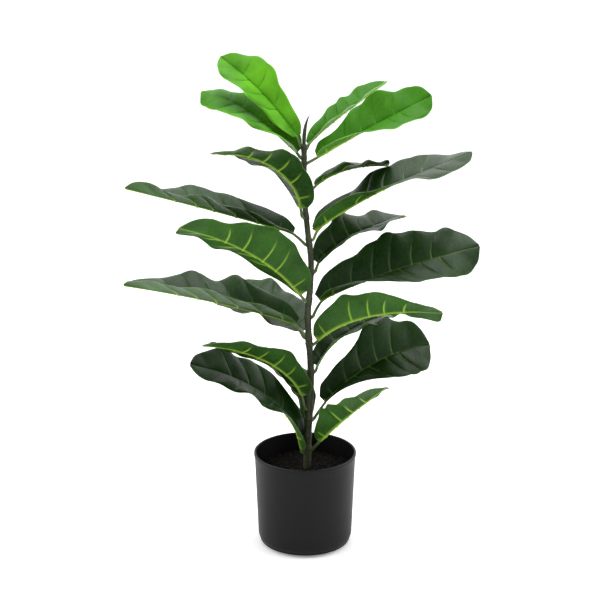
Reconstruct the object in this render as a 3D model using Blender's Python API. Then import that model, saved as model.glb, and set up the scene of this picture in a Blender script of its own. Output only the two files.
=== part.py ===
"""A potted fiddle leaf fig: a plain round pot, potting soil, one slender stem, the
closed bud sheath at its top, and twenty leaves. Each leaf grew as one piece, from
the foot of its petiole to the tip of its blade. Metres and degrees, +Z up, with the
pot standing on z = 0 and its axis on the Z axis."""

from math import cos, pi, radians, sin
from typing import NamedTuple

import bpy
import numpy as np

# Clearances: where two pieces seat against each other, where a petiole's rounded foot
# meets the stem, and round the stem in the soil.
SEAT_GAP = 0.0003
PETIOLE_GAP = 0.0005
SOCKET_GAP = 0.0006

# Pot
POT_HEIGHT = 0.140
RIM_RADIUS = 0.075
LIP_HEIGHT = 0.005
LIP_PROUD = 0.0007
BASE_RADIUS = 0.0687
BASE_ROUND = 0.015
POT_WALL = 0.0024
POT_FLOOR = 0.004
RIM_CHAMFER = 0.0006
INNER_ROUND = 0.006
ROUND_STEPS = 4
POT_SIDES = 48

# Soil
SOIL_BELOW_RIM = 0.028
SOIL_CROWN = 0.003
SOIL_WAVE = 0.0008
SOIL_WAVES = 5
SOIL_RINGS = 3

# Stem
STEM_HEIGHT = 0.482
STEM_FOOT_RADIUS = 0.0056
STEM_TOP_RADIUS = 0.0034
STEM_BURIED = 0.045
STEM_SIDES = 10
NODE_SWELL = 0.0007
NODE_SPREAD = 0.0045
RING_SPACING = 0.0026

# Bud sheath
BUD_LENGTH = 0.046
BUD_RADIUS = 0.0026
BUD_HOOK = 0.011
BUD_HOOK_POWER = 2.5
BUD_DROP = 0.08
BUD_LEAN = 35.0
BUD_FOOT_SHARE = 0.35
BUD_POINT = 0.12
BUD_SIDES = 8
BUD_RINGS = 9

# Leaves
BLADE_THICKNESS = 0.0009
PETIOLE_FOOT_RADIUS = 0.0023
PETIOLE_TOP_RADIUS = 0.0017
RIB_WIDTH = 0.0040
RIB_DEPTH = 0.0018
AXIL_ANGLE = 35.0
STALK_BEND = 0.4
SEAT_LENGTH = 0.004
BLADE_START = 0.003
BLADE_WAVES = 3
WAVE_STAGGER = 0.27
SPINE_STEPS = 80
BLADE_ROWS = 10
LAST_ROW = 0.975
HALF_COLUMNS = (0.55, 1.0)

# How far the stem leans off its foot: share of its height, x, y.
STEM_SWAY = (
    (0.00, 0.000, 0.000),
    (0.10, 0.001, 0.000),
    (0.22, 0.004, 0.001),
    (0.33, 0.005, 0.002),
    (0.42, 0.002, 0.001),
    (0.50, 0.001, 0.000),
    (0.58, 0.004, -0.001),
    (0.66, 0.005, -0.001),
    (0.75, 0.000, 0.000),
    (0.84, -0.004, 0.001),
    (1.00, -0.005, 0.000),
)
STEM_FOOT_X = 0.003

# Half a blade's margin, from the lobe beside the petiole to the tip: share of the
# way round, distance along the midrib in lengths, distance out in half widths.
MARGIN = (
    (0.00, -0.030, 0.22),
    (0.10, 0.040, 0.48),
    (0.22, 0.150, 0.70),
    (0.34, 0.280, 0.84),
    (0.48, 0.440, 0.97),
    (0.60, 0.580, 1.00),
    (0.72, 0.730, 0.92),
    (0.84, 0.870, 0.70),
    (0.93, 0.955, 0.40),
    (1.00, 1.000, 0.00),
)
# What a full waist takes off that margin, which gives the leaf its fiddle shape.
WAIST = (
    (0.00, 0.00),
    (0.10, 0.05),
    (0.22, 0.20),
    (0.34, 0.26),
    (0.48, 0.14),
    (0.60, 0.02),
    (0.72, -0.03),
    (0.84, -0.04),
    (1.00, 0.00),
)
# What a full neck takes off it further out, which leaves a narrower lobe at the tip.
NECK = (
    (0.00, 0.00),
    (0.22, 0.00),
    (0.34, -0.05),
    (0.48, -0.03),
    (0.60, 0.16),
    (0.72, 0.36),
    (0.84, 0.22),
    (0.93, 0.00),
    (1.00, 0.00),
)
# The ribs that a row of the blade follows bow forward by this power.
RIB_BOW = 1.25


class Habit(NamedTuple):
    """How one leaf grows. Lengths in metres, angles in degrees."""

    node: float  # share of the stem's height where it is attached
    azimuth: float  # direction in plan, from +X towards +Y
    petiole: float  # length of the stalk
    leave: float  # how steeply the stalk climbs
    rise: float  # how steeply the blade starts
    droop: float  # how much of that it loses by the tip
    length: float  # blade, along the midrib
    width: float  # blade, at its widest if flat
    bend: float = 0.6  # below 1 the droop comes early, above 1 late
    sweep: float = 0.0  # turn in plan along the blade
    roll: float = 0.0  # the left side, looking to the tip, lifted
    twist: float = 0.0  # further roll gained by the tip
    fold: float = 30.0  # each half lifted from flat, at the base
    open: float = 10.0  # the same at the tip
    waist: float = 0.6  # 0 for an oval blade, 1 for a full fiddle shape
    neck: float = 0.0  # 1 for a much narrower lobe at the tip
    ripple: float = 0.0015  # height of the margin's waves
    phase: float = 0.0  # where those waves start, in turns


# From the lowest leaf to the highest.
LEAVES = (
    Habit(0.054, -166, 0.015, 75, 88, 74, 0.222, 0.108, bend=0.55, roll=-18, open=0, waist=0.8,
          neck=0),
    Habit(0.064, -38, 0.030, 49, 48, 7, 0.150, 0.080, roll=-15, fold=40, waist=0.3, neck=0.4,
          phase=0.3),
    Habit(0.108, 112, 0.028, 84, 72, 62, 0.120, 0.066, sweep=45, roll=12, fold=40, waist=0.3,
          phase=0.6),
    Habit(0.158, 20, 0.038, 56, 43, 42, 0.178, 0.110, bend=1.0, roll=25, twist=26, fold=48,
          open=10, waist=1.2, phase=0.1),
    Habit(0.197, -150, 0.030, 78, 66, 55, 0.186, 0.115, roll=20, fold=15, open=5, waist=0.9,
          neck=0.2, phase=0.8),
    Habit(0.310, 22, 0.015, 70, 66, 65, 0.150, 0.080, phase=0.5),
    Habit(0.399, -25, 0.018, 43, 47, 46, 0.195, 0.098, roll=-30, twist=-16, fold=50, open=-5,
          waist=0.3, neck=1.0, phase=0.2),
    Habit(0.414, 120, 0.022, 30, 20, 20, 0.185, 0.105, sweep=55, roll=-10, fold=10, waist=0.3,
          neck=0.3, phase=0.9),
    Habit(0.419, 178, 0.032, 65, 19, 11, 0.245, 0.115, roll=-8, twist=20, fold=40, open=20,
          waist=0.4, neck=0.2, ripple=0.0030, phase=0.4),
    Habit(0.483, 10, 0.035, 70, 25, 14, 0.236, 0.118, roll=10, twist=34, fold=52, open=-10,
          waist=0.3, neck=0.3, phase=0.7),
    Habit(0.537, -152, 0.020, 50, 52, 36, 0.213, 0.128, bend=0.8, roll=30, fold=25, waist=0.2,
          neck=0.7, phase=0.1),
    Habit(0.621, 25, 0.020, 74, 46, 42, 0.147, 0.088, roll=25, twist=-35, fold=45, open=5,
          waist=0.4, phase=0.6),
    Habit(0.705, 178, 0.032, 48, 17, 4, 0.236, 0.098, roll=-8, twist=24, fold=34, open=20,
          neck=0.3, ripple=0.0025, phase=0.3),
    Habit(0.719, 5, 0.022, 74, 38, 20, 0.237, 0.112, roll=-8, twist=16, fold=38, open=-8,
          waist=0.4, neck=0.2, phase=0.8),
    Habit(0.788, -148, 0.020, 78, 84, 84, 0.172, 0.108, roll=15, fold=22, open=0, waist=0.7,
          neck=0.6, phase=0.5),
    Habit(0.852, 28, 0.022, 44, 36, 46, 0.118, 0.055, roll=-15, phase=0.2),
    Habit(0.945, 3, 0.022, 28, 32, 6, 0.172, 0.095, roll=5, twist=40, fold=40, open=5, waist=1.0,
          neck=0.5, phase=0.9),
    Habit(0.960, 162, 0.015, 56, 40, 36, 0.158, 0.094, bend=2.0, roll=-18, fold=45, open=-20,
          waist=0.5, neck=0.7, phase=0.4),
    Habit(0.985, 48, 0.015, 56, 27, 9, 0.178, 0.049, twist=-10, fold=45, open=20, waist=0.5,
          phase=0.7),
    Habit(0.990, 150, 0.022, 70, 50, 22, 0.156, 0.068, bend=1.0, roll=-32, fold=22, open=18,
          waist=0.7, phase=0.1),
)
YOUNG_LEAVES = 4

SOIL_TOP = POT_HEIGHT - SOIL_BELOW_RIM
SHARP_ANGLE = 40.0


def material(name, colour, roughness):
    """A plain Principled material. The colour is linear red, green and blue."""
    made = bpy.data.materials.new(name)
    made.use_nodes = True
    shader = made.node_tree.nodes["Principled BSDF"]
    shader.inputs["Base Color"].default_value = (*colour, 1.0)
    shader.inputs["Roughness"].default_value = roughness
    shader.inputs["Metallic"].default_value = 0.0
    return made


def through(points, at):
    """Values at each of `at` on a smooth curve through (at, value, ...) points."""
    table = np.array(points, float)
    keys, values = table[:, 0], table[:, 1:]
    slopes = np.empty_like(values)
    slopes[1:-1] = (values[2:] - values[:-2]) / (keys[2:] - keys[:-2])[:, None]
    slopes[0] = (values[1] - values[0]) / (keys[1] - keys[0])
    slopes[-1] = (values[-1] - values[-2]) / (keys[-1] - keys[-2])
    at = np.atleast_1d(np.asarray(at, float))
    span = np.clip(np.searchsorted(keys, at, side="right") - 1, 0, len(keys) - 2)
    width = (keys[span + 1] - keys[span])[:, None]
    t = (at - keys[span])[:, None] / width
    start, end = values[span], values[span + 1]
    leave, arrive = slopes[span] * width, slopes[span + 1] * width
    return (
        (2 * t**3 - 3 * t**2 + 1) * start
        + (t**3 - 2 * t**2 + t) * leave
        + (3 * t**2 - 2 * t**3) * end
        + (t**3 - t**2) * arrive
    )


def ease(t):
    """0 to 1 with a level start and end."""
    t = np.clip(t, 0.0, 1.0)
    return t * t * (3 - 2 * t)


def lofted(name, rings, finish):
    """One closed body skinned over rings of points, which turn anticlockwise seen from
    its last ring, with a face across each end. Both halves of a ring split their quads
    along mirrored diagonals, which keeps the two faces of a thin blade parallel."""
    rings = np.asarray(rings, float)
    count, sides = rings.shape[:2]
    faces = [tuple(range(sides))[::-1]]
    for row in range(count - 1):
        near, far = row * sides, (row + 1) * sides
        for side in range(sides):
            after = (side + 1) % sides
            if side < sides // 2:
                faces.append((near + side, near + after, far + after))
                faces.append((near + side, far + after, far + side))
            else:
                faces.append((near + side, near + after, far + side))
                faces.append((near + after, far + after, far + side))
    faces.append(tuple(range((count - 1) * sides, count * sides)))
    mesh = bpy.data.meshes.new(name)
    mesh.from_pydata(rings.reshape(-1, 3).tolist(), [], faces)
    mesh.materials.append(finish)
    mesh.shade_smooth()
    mesh.set_sharp_from_angle(angle=radians(SHARP_ANGLE))
    made = bpy.data.objects.new(name, mesh)
    bpy.context.scene.collection.objects.link(made)
    return made


def level_ring(centre, radius, height, sides):
    """A horizontal circle of points about an (x, y) centre. The height may be one value
    or one for each point."""
    turn = np.arange(sides) * 2 * pi / sides
    ring = np.empty((sides, 3))
    ring[:, 0] = centre[0] + radius * np.cos(turn)
    ring[:, 1] = centre[1] + radius * np.sin(turn)
    ring[:, 2] = height
    return ring


def wall_radius(height):
    """The pot's outer radius below its lip."""
    under_lip = RIM_RADIUS - LIP_PROUD
    return BASE_RADIUS + (under_lip - BASE_RADIUS) * height / POT_HEIGHT


def inner_radius(height):
    """The pot's inner radius above its inner round."""
    return wall_radius(height) - POT_WALL


def pot():
    """A thin-walled tapered pot with a slightly proud lip and a rounded foot."""
    profile = []
    corner = wall_radius(BASE_ROUND)
    for step in range(ROUND_STEPS + 1):
        turn = step / ROUND_STEPS * pi / 2
        radius = corner - BASE_ROUND * (1 - sin(turn))
        profile.append((radius, BASE_ROUND * (1 - cos(turn))))
    lip_foot = POT_HEIGHT - LIP_HEIGHT
    profile += [
        (wall_radius(lip_foot - LIP_PROUD), lip_foot - LIP_PROUD),
        (RIM_RADIUS, lip_foot),
        (RIM_RADIUS, POT_HEIGHT - RIM_CHAMFER),
        (RIM_RADIUS - RIM_CHAMFER, POT_HEIGHT),
        (inner_radius(POT_HEIGHT) + RIM_CHAMFER, POT_HEIGHT),
        (inner_radius(POT_HEIGHT), POT_HEIGHT - RIM_CHAMFER),
    ]
    floor_corner = inner_radius(POT_FLOOR + INNER_ROUND)
    for step in range(ROUND_STEPS, -1, -1):
        turn = step / ROUND_STEPS * pi / 2
        radius = floor_corner - INNER_ROUND * (1 - sin(turn))
        profile.append((radius, POT_FLOOR + INNER_ROUND * (1 - cos(turn))))
    finish = material("black_pot_plastic", (0.012, 0.013, 0.013), 0.48)
    rings = [level_ring((0, 0), radius, height, POT_SIDES) for radius, height in profile]
    return lofted("pot", rings, finish)


def soil_height(radius, turn):
    """The soil's surface: a low mound about the stem with a few shallow waves."""
    out = radius / inner_radius(SOIL_TOP)
    return SOIL_TOP + SOIL_CROWN * (1 - out**2) + SOIL_WAVE * out * np.sin(SOIL_WAVES * turn)


def soil():
    """A plug of potting soil that rests on the pot's floor, with a socket for the stem."""
    turn = np.arange(POT_SIDES) * 2 * pi / POT_SIDES
    rings = []
    floor = POT_FLOOR + SEAT_GAP
    corner = inner_radius(floor + INNER_ROUND) - SEAT_GAP
    for step in range(ROUND_STEPS + 1):
        angle = step / ROUND_STEPS * pi / 2
        radius = corner - INNER_ROUND * (1 - sin(angle))
        rings.append(level_ring((0, 0), radius, floor + INNER_ROUND * (1 - cos(angle)), POT_SIDES))
    edge = inner_radius(SOIL_TOP) - 2 * SEAT_GAP
    socket = (stem_radius(0.0) + SOCKET_GAP) / cos(pi / POT_SIDES)
    for step in range(SOIL_RINGS + 1):
        share = step / SOIL_RINGS
        radius = edge + (socket - edge) * share
        centre = (STEM_FOOT_X * share, 0)
        rings.append(level_ring(centre, radius, soil_height(radius, turn), POT_SIDES))
    depth = SOIL_TOP - STEM_BURIED - SEAT_GAP
    rings.append(level_ring((STEM_FOOT_X, 0), socket, depth, POT_SIDES))
    return lofted("soil", rings, material("dark_soil", (0.010, 0.009, 0.007), 0.95))


def stem_axis(share):
    """Centre of the stem at a share of its height above the soil."""
    lean = through(STEM_SWAY, share)
    height = SOIL_TOP + STEM_HEIGHT * np.atleast_1d(share)
    return np.column_stack([lean[:, 0] + STEM_FOOT_X, lean[:, 1], height])


def stem_radius(share):
    """The stem tapers, and swells a little at each node."""
    share = np.asarray(share, float)
    plain = STEM_FOOT_RADIUS + (STEM_TOP_RADIUS - STEM_FOOT_RADIUS) * share
    nodes = np.array([leaf.node for leaf in LEAVES])
    away = np.abs(share[..., None] - nodes).min(axis=-1) * STEM_HEIGHT / NODE_SPREAD
    return plain + NODE_SWELL * np.exp(-(away**2))


def stem():
    """The woody stem, from its buried end to the foot of the bud."""
    heights = [0.0, STEM_HEIGHT]
    for leaf in LEAVES:
        height = leaf.node * STEM_HEIGHT
        heights += [height - NODE_SPREAD, height, height + NODE_SPREAD]
    kept = []
    for height in sorted(heights):
        if height <= STEM_HEIGHT and (not kept or height - kept[-1] > RING_SPACING):
            kept.append(height)
    kept[-1] = STEM_HEIGHT
    shares = np.array(kept) / STEM_HEIGHT
    rings = [level_ring((STEM_FOOT_X, 0), float(stem_radius(0.0)), SOIL_TOP - STEM_BURIED, STEM_SIDES)]
    for centre, radius in zip(stem_axis(shares), stem_radius(shares)):
        rings.append(level_ring(centre, radius, centre[2], STEM_SIDES))
    return lofted("stem", rings, material("stem_bark", (0.040, 0.041, 0.026), 0.75))


def bud():
    """The slender, closed sheath at the stem's top, hooked over at its point."""
    foot = stem_axis(1.0)[0] + (0, 0, SEAT_GAP)
    lean = radians(BUD_LEAN)
    rings = []
    for share in np.linspace(0, 1, BUD_RINGS):
        swell = max(sin(pi * (BUD_FOOT_SHARE + (1 - BUD_FOOT_SHARE) * share)), BUD_POINT)
        out = BUD_HOOK * share**BUD_HOOK_POWER
        up = BUD_LENGTH * (share - BUD_DROP * share**4)
        centre = foot + (out * cos(lean), out * sin(lean), up)
        rings.append(level_ring(centre, BUD_RADIUS * swell, centre[2], BUD_SIDES))
    return lofted("bud_sheath", rings, material("bud_scale", (0.018, 0.019, 0.010), 0.6))


class Spine:
    """The centre line of one leaf, from its seat on the stem to the blade's tip."""

    def __init__(self, leaf):
        self.leaf = leaf
        turn = radians(leaf.azimuth)
        clear = float(stem_radius(leaf.node)) + PETIOLE_GAP
        seat = stem_axis(leaf.node)[0] + clear * np.array([cos(turn), sin(turn), 0])
        stalk = np.linspace(-leaf.petiole, 0, SPINE_STEPS // 4)
        blade = np.linspace(0, leaf.length, SPINE_STEPS)[1:]
        self.reach = np.concatenate([stalk, blade])
        middle = (self.reach[1:] + self.reach[:-1]) / 2
        steps = self.along(middle) * np.diff(self.reach)[:, None]
        self.points = np.vstack([seat, seat + np.cumsum(steps, axis=0)])

    def climb(self, reach):
        """How steeply the leaf climbs at a distance from the blade's foot, in radians."""
        leaf = self.leaf
        back = np.clip(-reach / leaf.petiole, 0, 1)
        stalk = leaf.rise + (leaf.leave - leaf.rise) * back**STALK_BEND
        seated = ease((reach + leaf.petiole) / SEAT_LENGTH)
        stalk = AXIL_ANGLE + (stalk - AXIL_ANGLE) * seated
        blade = leaf.rise - leaf.droop * np.clip(reach / leaf.length, 0, 1) ** leaf.bend
        return np.radians(np.where(reach < 0, stalk, blade))

    def heading(self, reach):
        """Direction in plan, in radians."""
        leaf = self.leaf
        return np.radians(leaf.azimuth + leaf.sweep * np.clip(reach / leaf.length, 0, 1))

    def along(self, reach):
        """Unit direction of growth."""
        climb, heading = self.climb(reach), self.heading(reach)
        return np.stack(
            [np.cos(climb) * np.cos(heading), np.cos(climb) * np.sin(heading), np.sin(climb)], -1
        )

    def at(self, reach):
        """Point on the centre line, which runs on straight past its ends."""
        reach = np.asarray(reach, float)
        held = np.clip(reach, self.reach[0], self.reach[-1])
        point = np.stack([np.interp(held, self.reach, self.points[:, k]) for k in range(3)], -1)
        return point + self.along(held) * (reach - held)[..., None]

    def sides(self, reach):
        """Unit directions to the leaf's left and out of its upper face."""
        leaf = self.leaf
        held = np.clip(np.asarray(reach, float), self.reach[0], self.reach[-1])
        climb = self.climb(held) * ease((held + leaf.petiole) / SEAT_LENGTH)
        heading = self.heading(held)
        left = np.stack([-np.sin(heading), np.cos(heading), np.zeros_like(heading)], -1)
        upper = np.stack(
            [-np.sin(climb) * np.cos(heading), -np.sin(climb) * np.sin(heading), np.cos(climb)], -1
        )
        roll = np.radians(leaf.roll + leaf.twist * np.clip(held / leaf.length, 0, 1))
        turned, risen = np.cos(roll)[..., None], np.sin(roll)[..., None]
        return turned * left + risen * upper, turned * upper - risen * left


def margin(leaf, share):
    """Where the blade's margin lies: distance along the midrib and out from it."""
    line = through(MARGIN, share)
    out = line[:, 1] - leaf.waist * through(WAIST, share)[:, 0]
    out = out - leaf.neck * through(NECK, share)[:, 0]
    return line[:, 0] * leaf.length, np.maximum(out, 0) * leaf.width / 2


def blade_point(leaf, spine, row, across):
    """Points of the blade's upper face and its normals there. Rows count from 0 at the
    lobes to 1 at the tip, and across runs from -1 on the right margin to 1 on the left."""
    ahead, out = margin(leaf, row)
    foot = BLADE_START + row * (leaf.length - BLADE_START)
    wide = np.abs(across)
    reach = foot + (ahead - foot) * wide**RIB_BOW
    share = np.clip(reach / leaf.length, 0, 1)
    lift = np.radians(leaf.fold + (leaf.open - leaf.fold) * share)
    span = out * wide
    side = np.sign(across)
    tall = out / (leaf.width / 2) * wide
    wave = 2 * pi * (BLADE_WAVES * share + leaf.phase + WAVE_STAGGER * (side > 0))
    height = span * np.sin(lift) + leaf.ripple * tall**2 * np.sin(wave)
    left, upper = spine.sides(reach)
    point = spine.at(reach) + left * (side * span * np.cos(lift))[:, None] + upper * height[:, None]
    slope = np.where(across == 0, 0, lift)
    normal = upper * np.cos(slope)[:, None] - left * (side * np.sin(slope))[:, None]
    return point, normal


def leaf_rings(leaf):
    """Closed sections of one leaf: round along its petiole, then, from the lobes to the
    tip, the blade's upper face from left to right and its under face back again."""
    spine = Spine(leaf)
    half = RIB_WIDTH / leaf.width
    columns = (half, *HALF_COLUMNS)
    across = np.array([*reversed(columns), 0.0, *[-column for column in columns]])
    sides = 2 * len(across)
    turn = (np.arange(sides) + 0.5) * 2 * pi / sides
    rings = []
    seated = SEAT_LENGTH - leaf.petiole
    behind_lobes = float(margin(leaf, 0.0)[0][0]) - BLADE_START / 2
    for reach in (-leaf.petiole, seated, (seated + behind_lobes) / 2, behind_lobes):
        left, upper = spine.sides(reach)
        share = -reach / leaf.petiole
        radius = PETIOLE_TOP_RADIUS + (PETIOLE_FOOT_RADIUS - PETIOLE_TOP_RADIUS) * share
        ring = spine.at(reach) + radius * np.cos(turn)[:, None] * left
        rings.append(ring + radius * np.sin(turn)[:, None] * upper)
    shares = np.linspace(0, 1, BLADE_ROWS + 1)[:-1]
    for share in (*shares, LAST_ROW):
        row = np.full(len(across), share)
        top, normal = blade_point(leaf, spine, row, across)
        thick = np.full(len(across), BLADE_THICKNESS)
        thick[len(across) // 2] += RIB_DEPTH * (1 - share)
        under = top - normal * thick[:, None]
        rings.append(np.vstack([top, under[::-1]]))
    return rings


def grow_leaves():
    """Every leaf, numbered from the lowest. The last few are the young, paler ones."""
    mature = material("mature_leaf", (0.030, 0.075, 0.022), 0.42)
    young = material("young_leaf", (0.090, 0.290, 0.045), 0.42)
    for number, leaf in enumerate(LEAVES, start=1):
        finish = young if number > len(LEAVES) - YOUNG_LEAVES else mature
        lofted(f"leaf_{number:02d}", leaf_rings(leaf), finish)


def clear_scene():
    """Remove whatever the scene holds."""
    for item in list(bpy.data.objects):
        bpy.data.objects.remove(item, do_unlink=True)


def main():
    """Build the plant, from the pot up."""
    clear_scene()
    pot()
    soil()
    stem()
    bud()
    grow_leaves()


main()
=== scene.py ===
import logging
from dataclasses import dataclass, field
from enum import Enum
from math import cos, pi, radians, sin
from typing import Any, Protocol, Sequence

import bpy
import numpy as np
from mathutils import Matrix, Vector


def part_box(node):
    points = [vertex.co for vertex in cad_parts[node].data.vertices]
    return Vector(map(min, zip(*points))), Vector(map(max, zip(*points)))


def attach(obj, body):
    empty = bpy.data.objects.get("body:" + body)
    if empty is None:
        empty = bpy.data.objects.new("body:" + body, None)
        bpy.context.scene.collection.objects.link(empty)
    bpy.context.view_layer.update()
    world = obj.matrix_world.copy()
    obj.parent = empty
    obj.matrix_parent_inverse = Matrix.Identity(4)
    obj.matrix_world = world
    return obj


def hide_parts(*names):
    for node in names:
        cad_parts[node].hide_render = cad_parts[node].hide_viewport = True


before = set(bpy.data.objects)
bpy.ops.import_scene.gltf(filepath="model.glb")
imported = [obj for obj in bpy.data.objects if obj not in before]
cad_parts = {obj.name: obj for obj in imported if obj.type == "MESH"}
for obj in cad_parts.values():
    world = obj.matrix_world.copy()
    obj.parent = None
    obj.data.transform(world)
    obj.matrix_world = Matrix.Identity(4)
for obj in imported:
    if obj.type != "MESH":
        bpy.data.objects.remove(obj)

# The looks of a potted fiddle leaf fig: a plain round pot, potting soil, one slender
# stem with a closed bud sheath, and twenty leaves. Metres, +Z up, pot axis on the Z axis.

log = logging.getLogger("fiddle_leaf_fig")
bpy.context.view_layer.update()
Array = np.ndarray
Colour = tuple[float, float, float]

SEED = 20


class Age(Enum):
    """How old a leaf is, which sets its colours."""

    MATURE = "leaf"
    YOUNG = "young_leaf"


class Skin(Enum):
    """The parts of a leaf's surface, in the order of its material slots."""

    UPPER = 0
    UNDER = 1
    STALK = 2


# ---------------------------------------------------------------- curves and noise


def through(points: Sequence[Sequence[float]], at: Any) -> Array:
    """Values on a smooth curve through given points.

    Args:
        points: rows of (position, value, ...), in order of position.
        at: the positions wanted.

    Returns:
        One row of values for each position.
    """
    table = np.array(points, float)
    keys, values = table[:, 0], table[:, 1:]
    slopes = np.empty_like(values)
    slopes[1:-1] = (values[2:] - values[:-2]) / (keys[2:] - keys[:-2])[:, None]
    slopes[0] = (values[1] - values[0]) / (keys[1] - keys[0])
    slopes[-1] = (values[-1] - values[-2]) / (keys[-1] - keys[-2])
    at = np.atleast_1d(np.asarray(at, float))
    span = np.clip(np.searchsorted(keys, at, side="right") - 1, 0, len(keys) - 2)
    width = (keys[span + 1] - keys[span])[:, None]
    t = (at - keys[span])[:, None] / width
    leave, arrive = slopes[span] * width, slopes[span + 1] * width
    return (
        (2 * t**3 - 3 * t**2 + 1) * values[span]
        + (t**3 - 2 * t**2 + t) * leave
        + (3 * t**2 - 2 * t**3) * values[span + 1]
        + (t**3 - t**2) * arrive
    )


def ease(t: Any) -> Array:
    """0 to 1 with a level start and end."""
    t = np.clip(t, 0.0, 1.0)
    return t * t * (3 - 2 * t)


def bell(distance: Array, width: Any) -> Array:
    """1 at no distance, falling away smoothly over about one width."""
    return np.exp(-((distance / width) ** 2))


class Wander:
    """A smooth random line, made of a few sine waves of chance length and start."""

    def __init__(self, rng: np.random.Generator, waves: int = 4, finest: float = 6.0) -> None:
        """Draw the waves.

        Args:
            rng: where the chance comes from.
            waves: how many there are.
            finest: the most turns in one unit of length.
        """
        self.turns = rng.uniform(0.6, finest, waves)
        self.starts = rng.uniform(0, 2 * pi, waves)
        self.sizes = 1 / (1 + self.turns)
        self.sizes /= np.sqrt((self.sizes**2).sum() / 2)

    def __call__(self, at: Array) -> Array:
        """Its height, about -1 to 1, at each place."""
        angle = 2 * pi * self.turns * np.asarray(at, float)[..., None] + self.starts
        return (np.sin(angle) * self.sizes).sum(-1)


# ---------------------------------------------------------------- meshes


@dataclass
class Surface:
    """Points, faces and what they carry, on their way to becoming a mesh."""

    points: Array
    faces: list[tuple[int, ...]]
    slots: Array | None = None
    uv: Array | None = None
    marks: dict[str, Array] = field(default_factory=dict)

    def piece(
        self, name: str, finishes: Sequence[bpy.types.Material], crease: float = 50.0
    ) -> bpy.types.Object:
        """Make the object.

        Args:
            name: the piece's name.
            finishes: its materials, in slot order.
            crease: the angle in degrees above which an edge stays sharp.

        Returns:
            The new mesh object, at the origin.
        """
        mesh = bpy.data.meshes.new(name)
        mesh.from_pydata(self.points.tolist(), [], self.faces)
        for finish in finishes:
            mesh.materials.append(finish)
        if self.slots is not None:
            mesh.polygons.foreach_set("material_index", self.slots.astype(np.int32))
        if self.uv is not None:
            corner = np.empty(len(mesh.loops), np.int32)
            mesh.loops.foreach_get("vertex_index", corner)
            layer = mesh.uv_layers.new(name="blade")
            layer.data.foreach_set("uv", self.uv[corner].astype(np.float32).ravel())
        for mark, values in self.marks.items():
            attribute = mesh.attributes.new(mark, "FLOAT", "POINT")
            attribute.data.foreach_set("value", values.astype(np.float32))
        mesh.shade_smooth()
        mesh.set_sharp_from_angle(angle=radians(crease))
        return placed(name, mesh)


def placed(name: str, data: Any) -> bpy.types.Object:
    """A new object in the scene.

    Args:
        name: its name.
        data: its mesh, light or camera.

    Returns:
        The object, at the origin.
    """
    made = bpy.data.objects.new(name, data)
    bpy.context.scene.collection.objects.link(made)
    return made


def ring_faces(count: int, sides: int, caps: bool = True) -> list[tuple[int, ...]]:
    """Quads that skin a stack of rings, which turn anticlockwise seen from the last one.

    Args:
        count: how many rings.
        sides: points in each ring.
        caps: whether to close both ends with one face each.

    Returns:
        The faces, ring by ring, then the two caps.
    """
    faces: list[tuple[int, ...]] = []
    for row in range(count - 1):
        near, far = row * sides, (row + 1) * sides
        for side in range(sides):
            after = (side + 1) % sides
            faces.append((near + side, near + after, far + after, far + side))
    if caps:
        faces.append(tuple(range(sides))[::-1])
        faces.append(tuple(range((count - 1) * sides, count * sides)))
    return faces


def turned(profile: Sequence[tuple[float, float]], sides: int) -> Surface:
    """A closed body turned from a profile.

    Args:
        profile: (radius, height) points from the middle of its underside, out and up,
            and back to the middle.
        sides: how many facets round the axis.

    Returns:
        The surface, whose first and last points are single points on the axis.
    """
    turn = np.arange(sides) * 2 * pi / sides
    middle = np.array(profile[1:-1], float)
    rings = np.empty((len(middle), sides, 3))
    rings[..., 0] = middle[:, :1] * np.cos(turn)
    rings[..., 1] = middle[:, :1] * np.sin(turn)
    rings[..., 2] = middle[:, 1:]
    faces = ring_faces(len(middle), sides, caps=False)
    low, high = len(middle) * sides, len(middle) * sides + 1
    last = (len(middle) - 1) * sides
    for side in range(sides):
        after = (side + 1) % sides
        faces.append((low, after, side))
        faces.append((high, last + side, last + after))
    ends = [(0.0, 0.0, profile[0][1]), (0.0, 0.0, profile[-1][1])]
    return Surface(np.vstack([rings.reshape(-1, 3), ends]), faces)


def tube(centre: Array, radius: Array, turn: Array, marks: dict[str, Array]) -> Surface:
    """A closed body of level rings.

    Args:
        centre: the middle of each ring, from the lowest.
        radius: how far each point of each ring is from its middle.
        turn: the angles of a ring's points.
        marks: what each point carries.

    Returns:
        The surface.
    """
    rings = np.stack(
        [centre[:, :1] + radius * np.cos(turn), centre[:, 1:2] + radius * np.sin(turn),
         np.broadcast_to(centre[:, 2:], radius.shape)], -1)
    return Surface(rings.reshape(-1, 3), ring_faces(len(rings), len(turn)), marks=marks)


# ---------------------------------------------------------------- shader building


# The sockets of a colour Mix node, which share their names.
MIX_SHARE, MIX_FIRST, MIX_SECOND, MIX_RESULT = 0, 6, 7, 2
# Noise keeps to the middle of its range, so this part of it is stretched to 0 to 1.
NOISE_LOW, NOISE_HIGH = 0.3, 0.7


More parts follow.
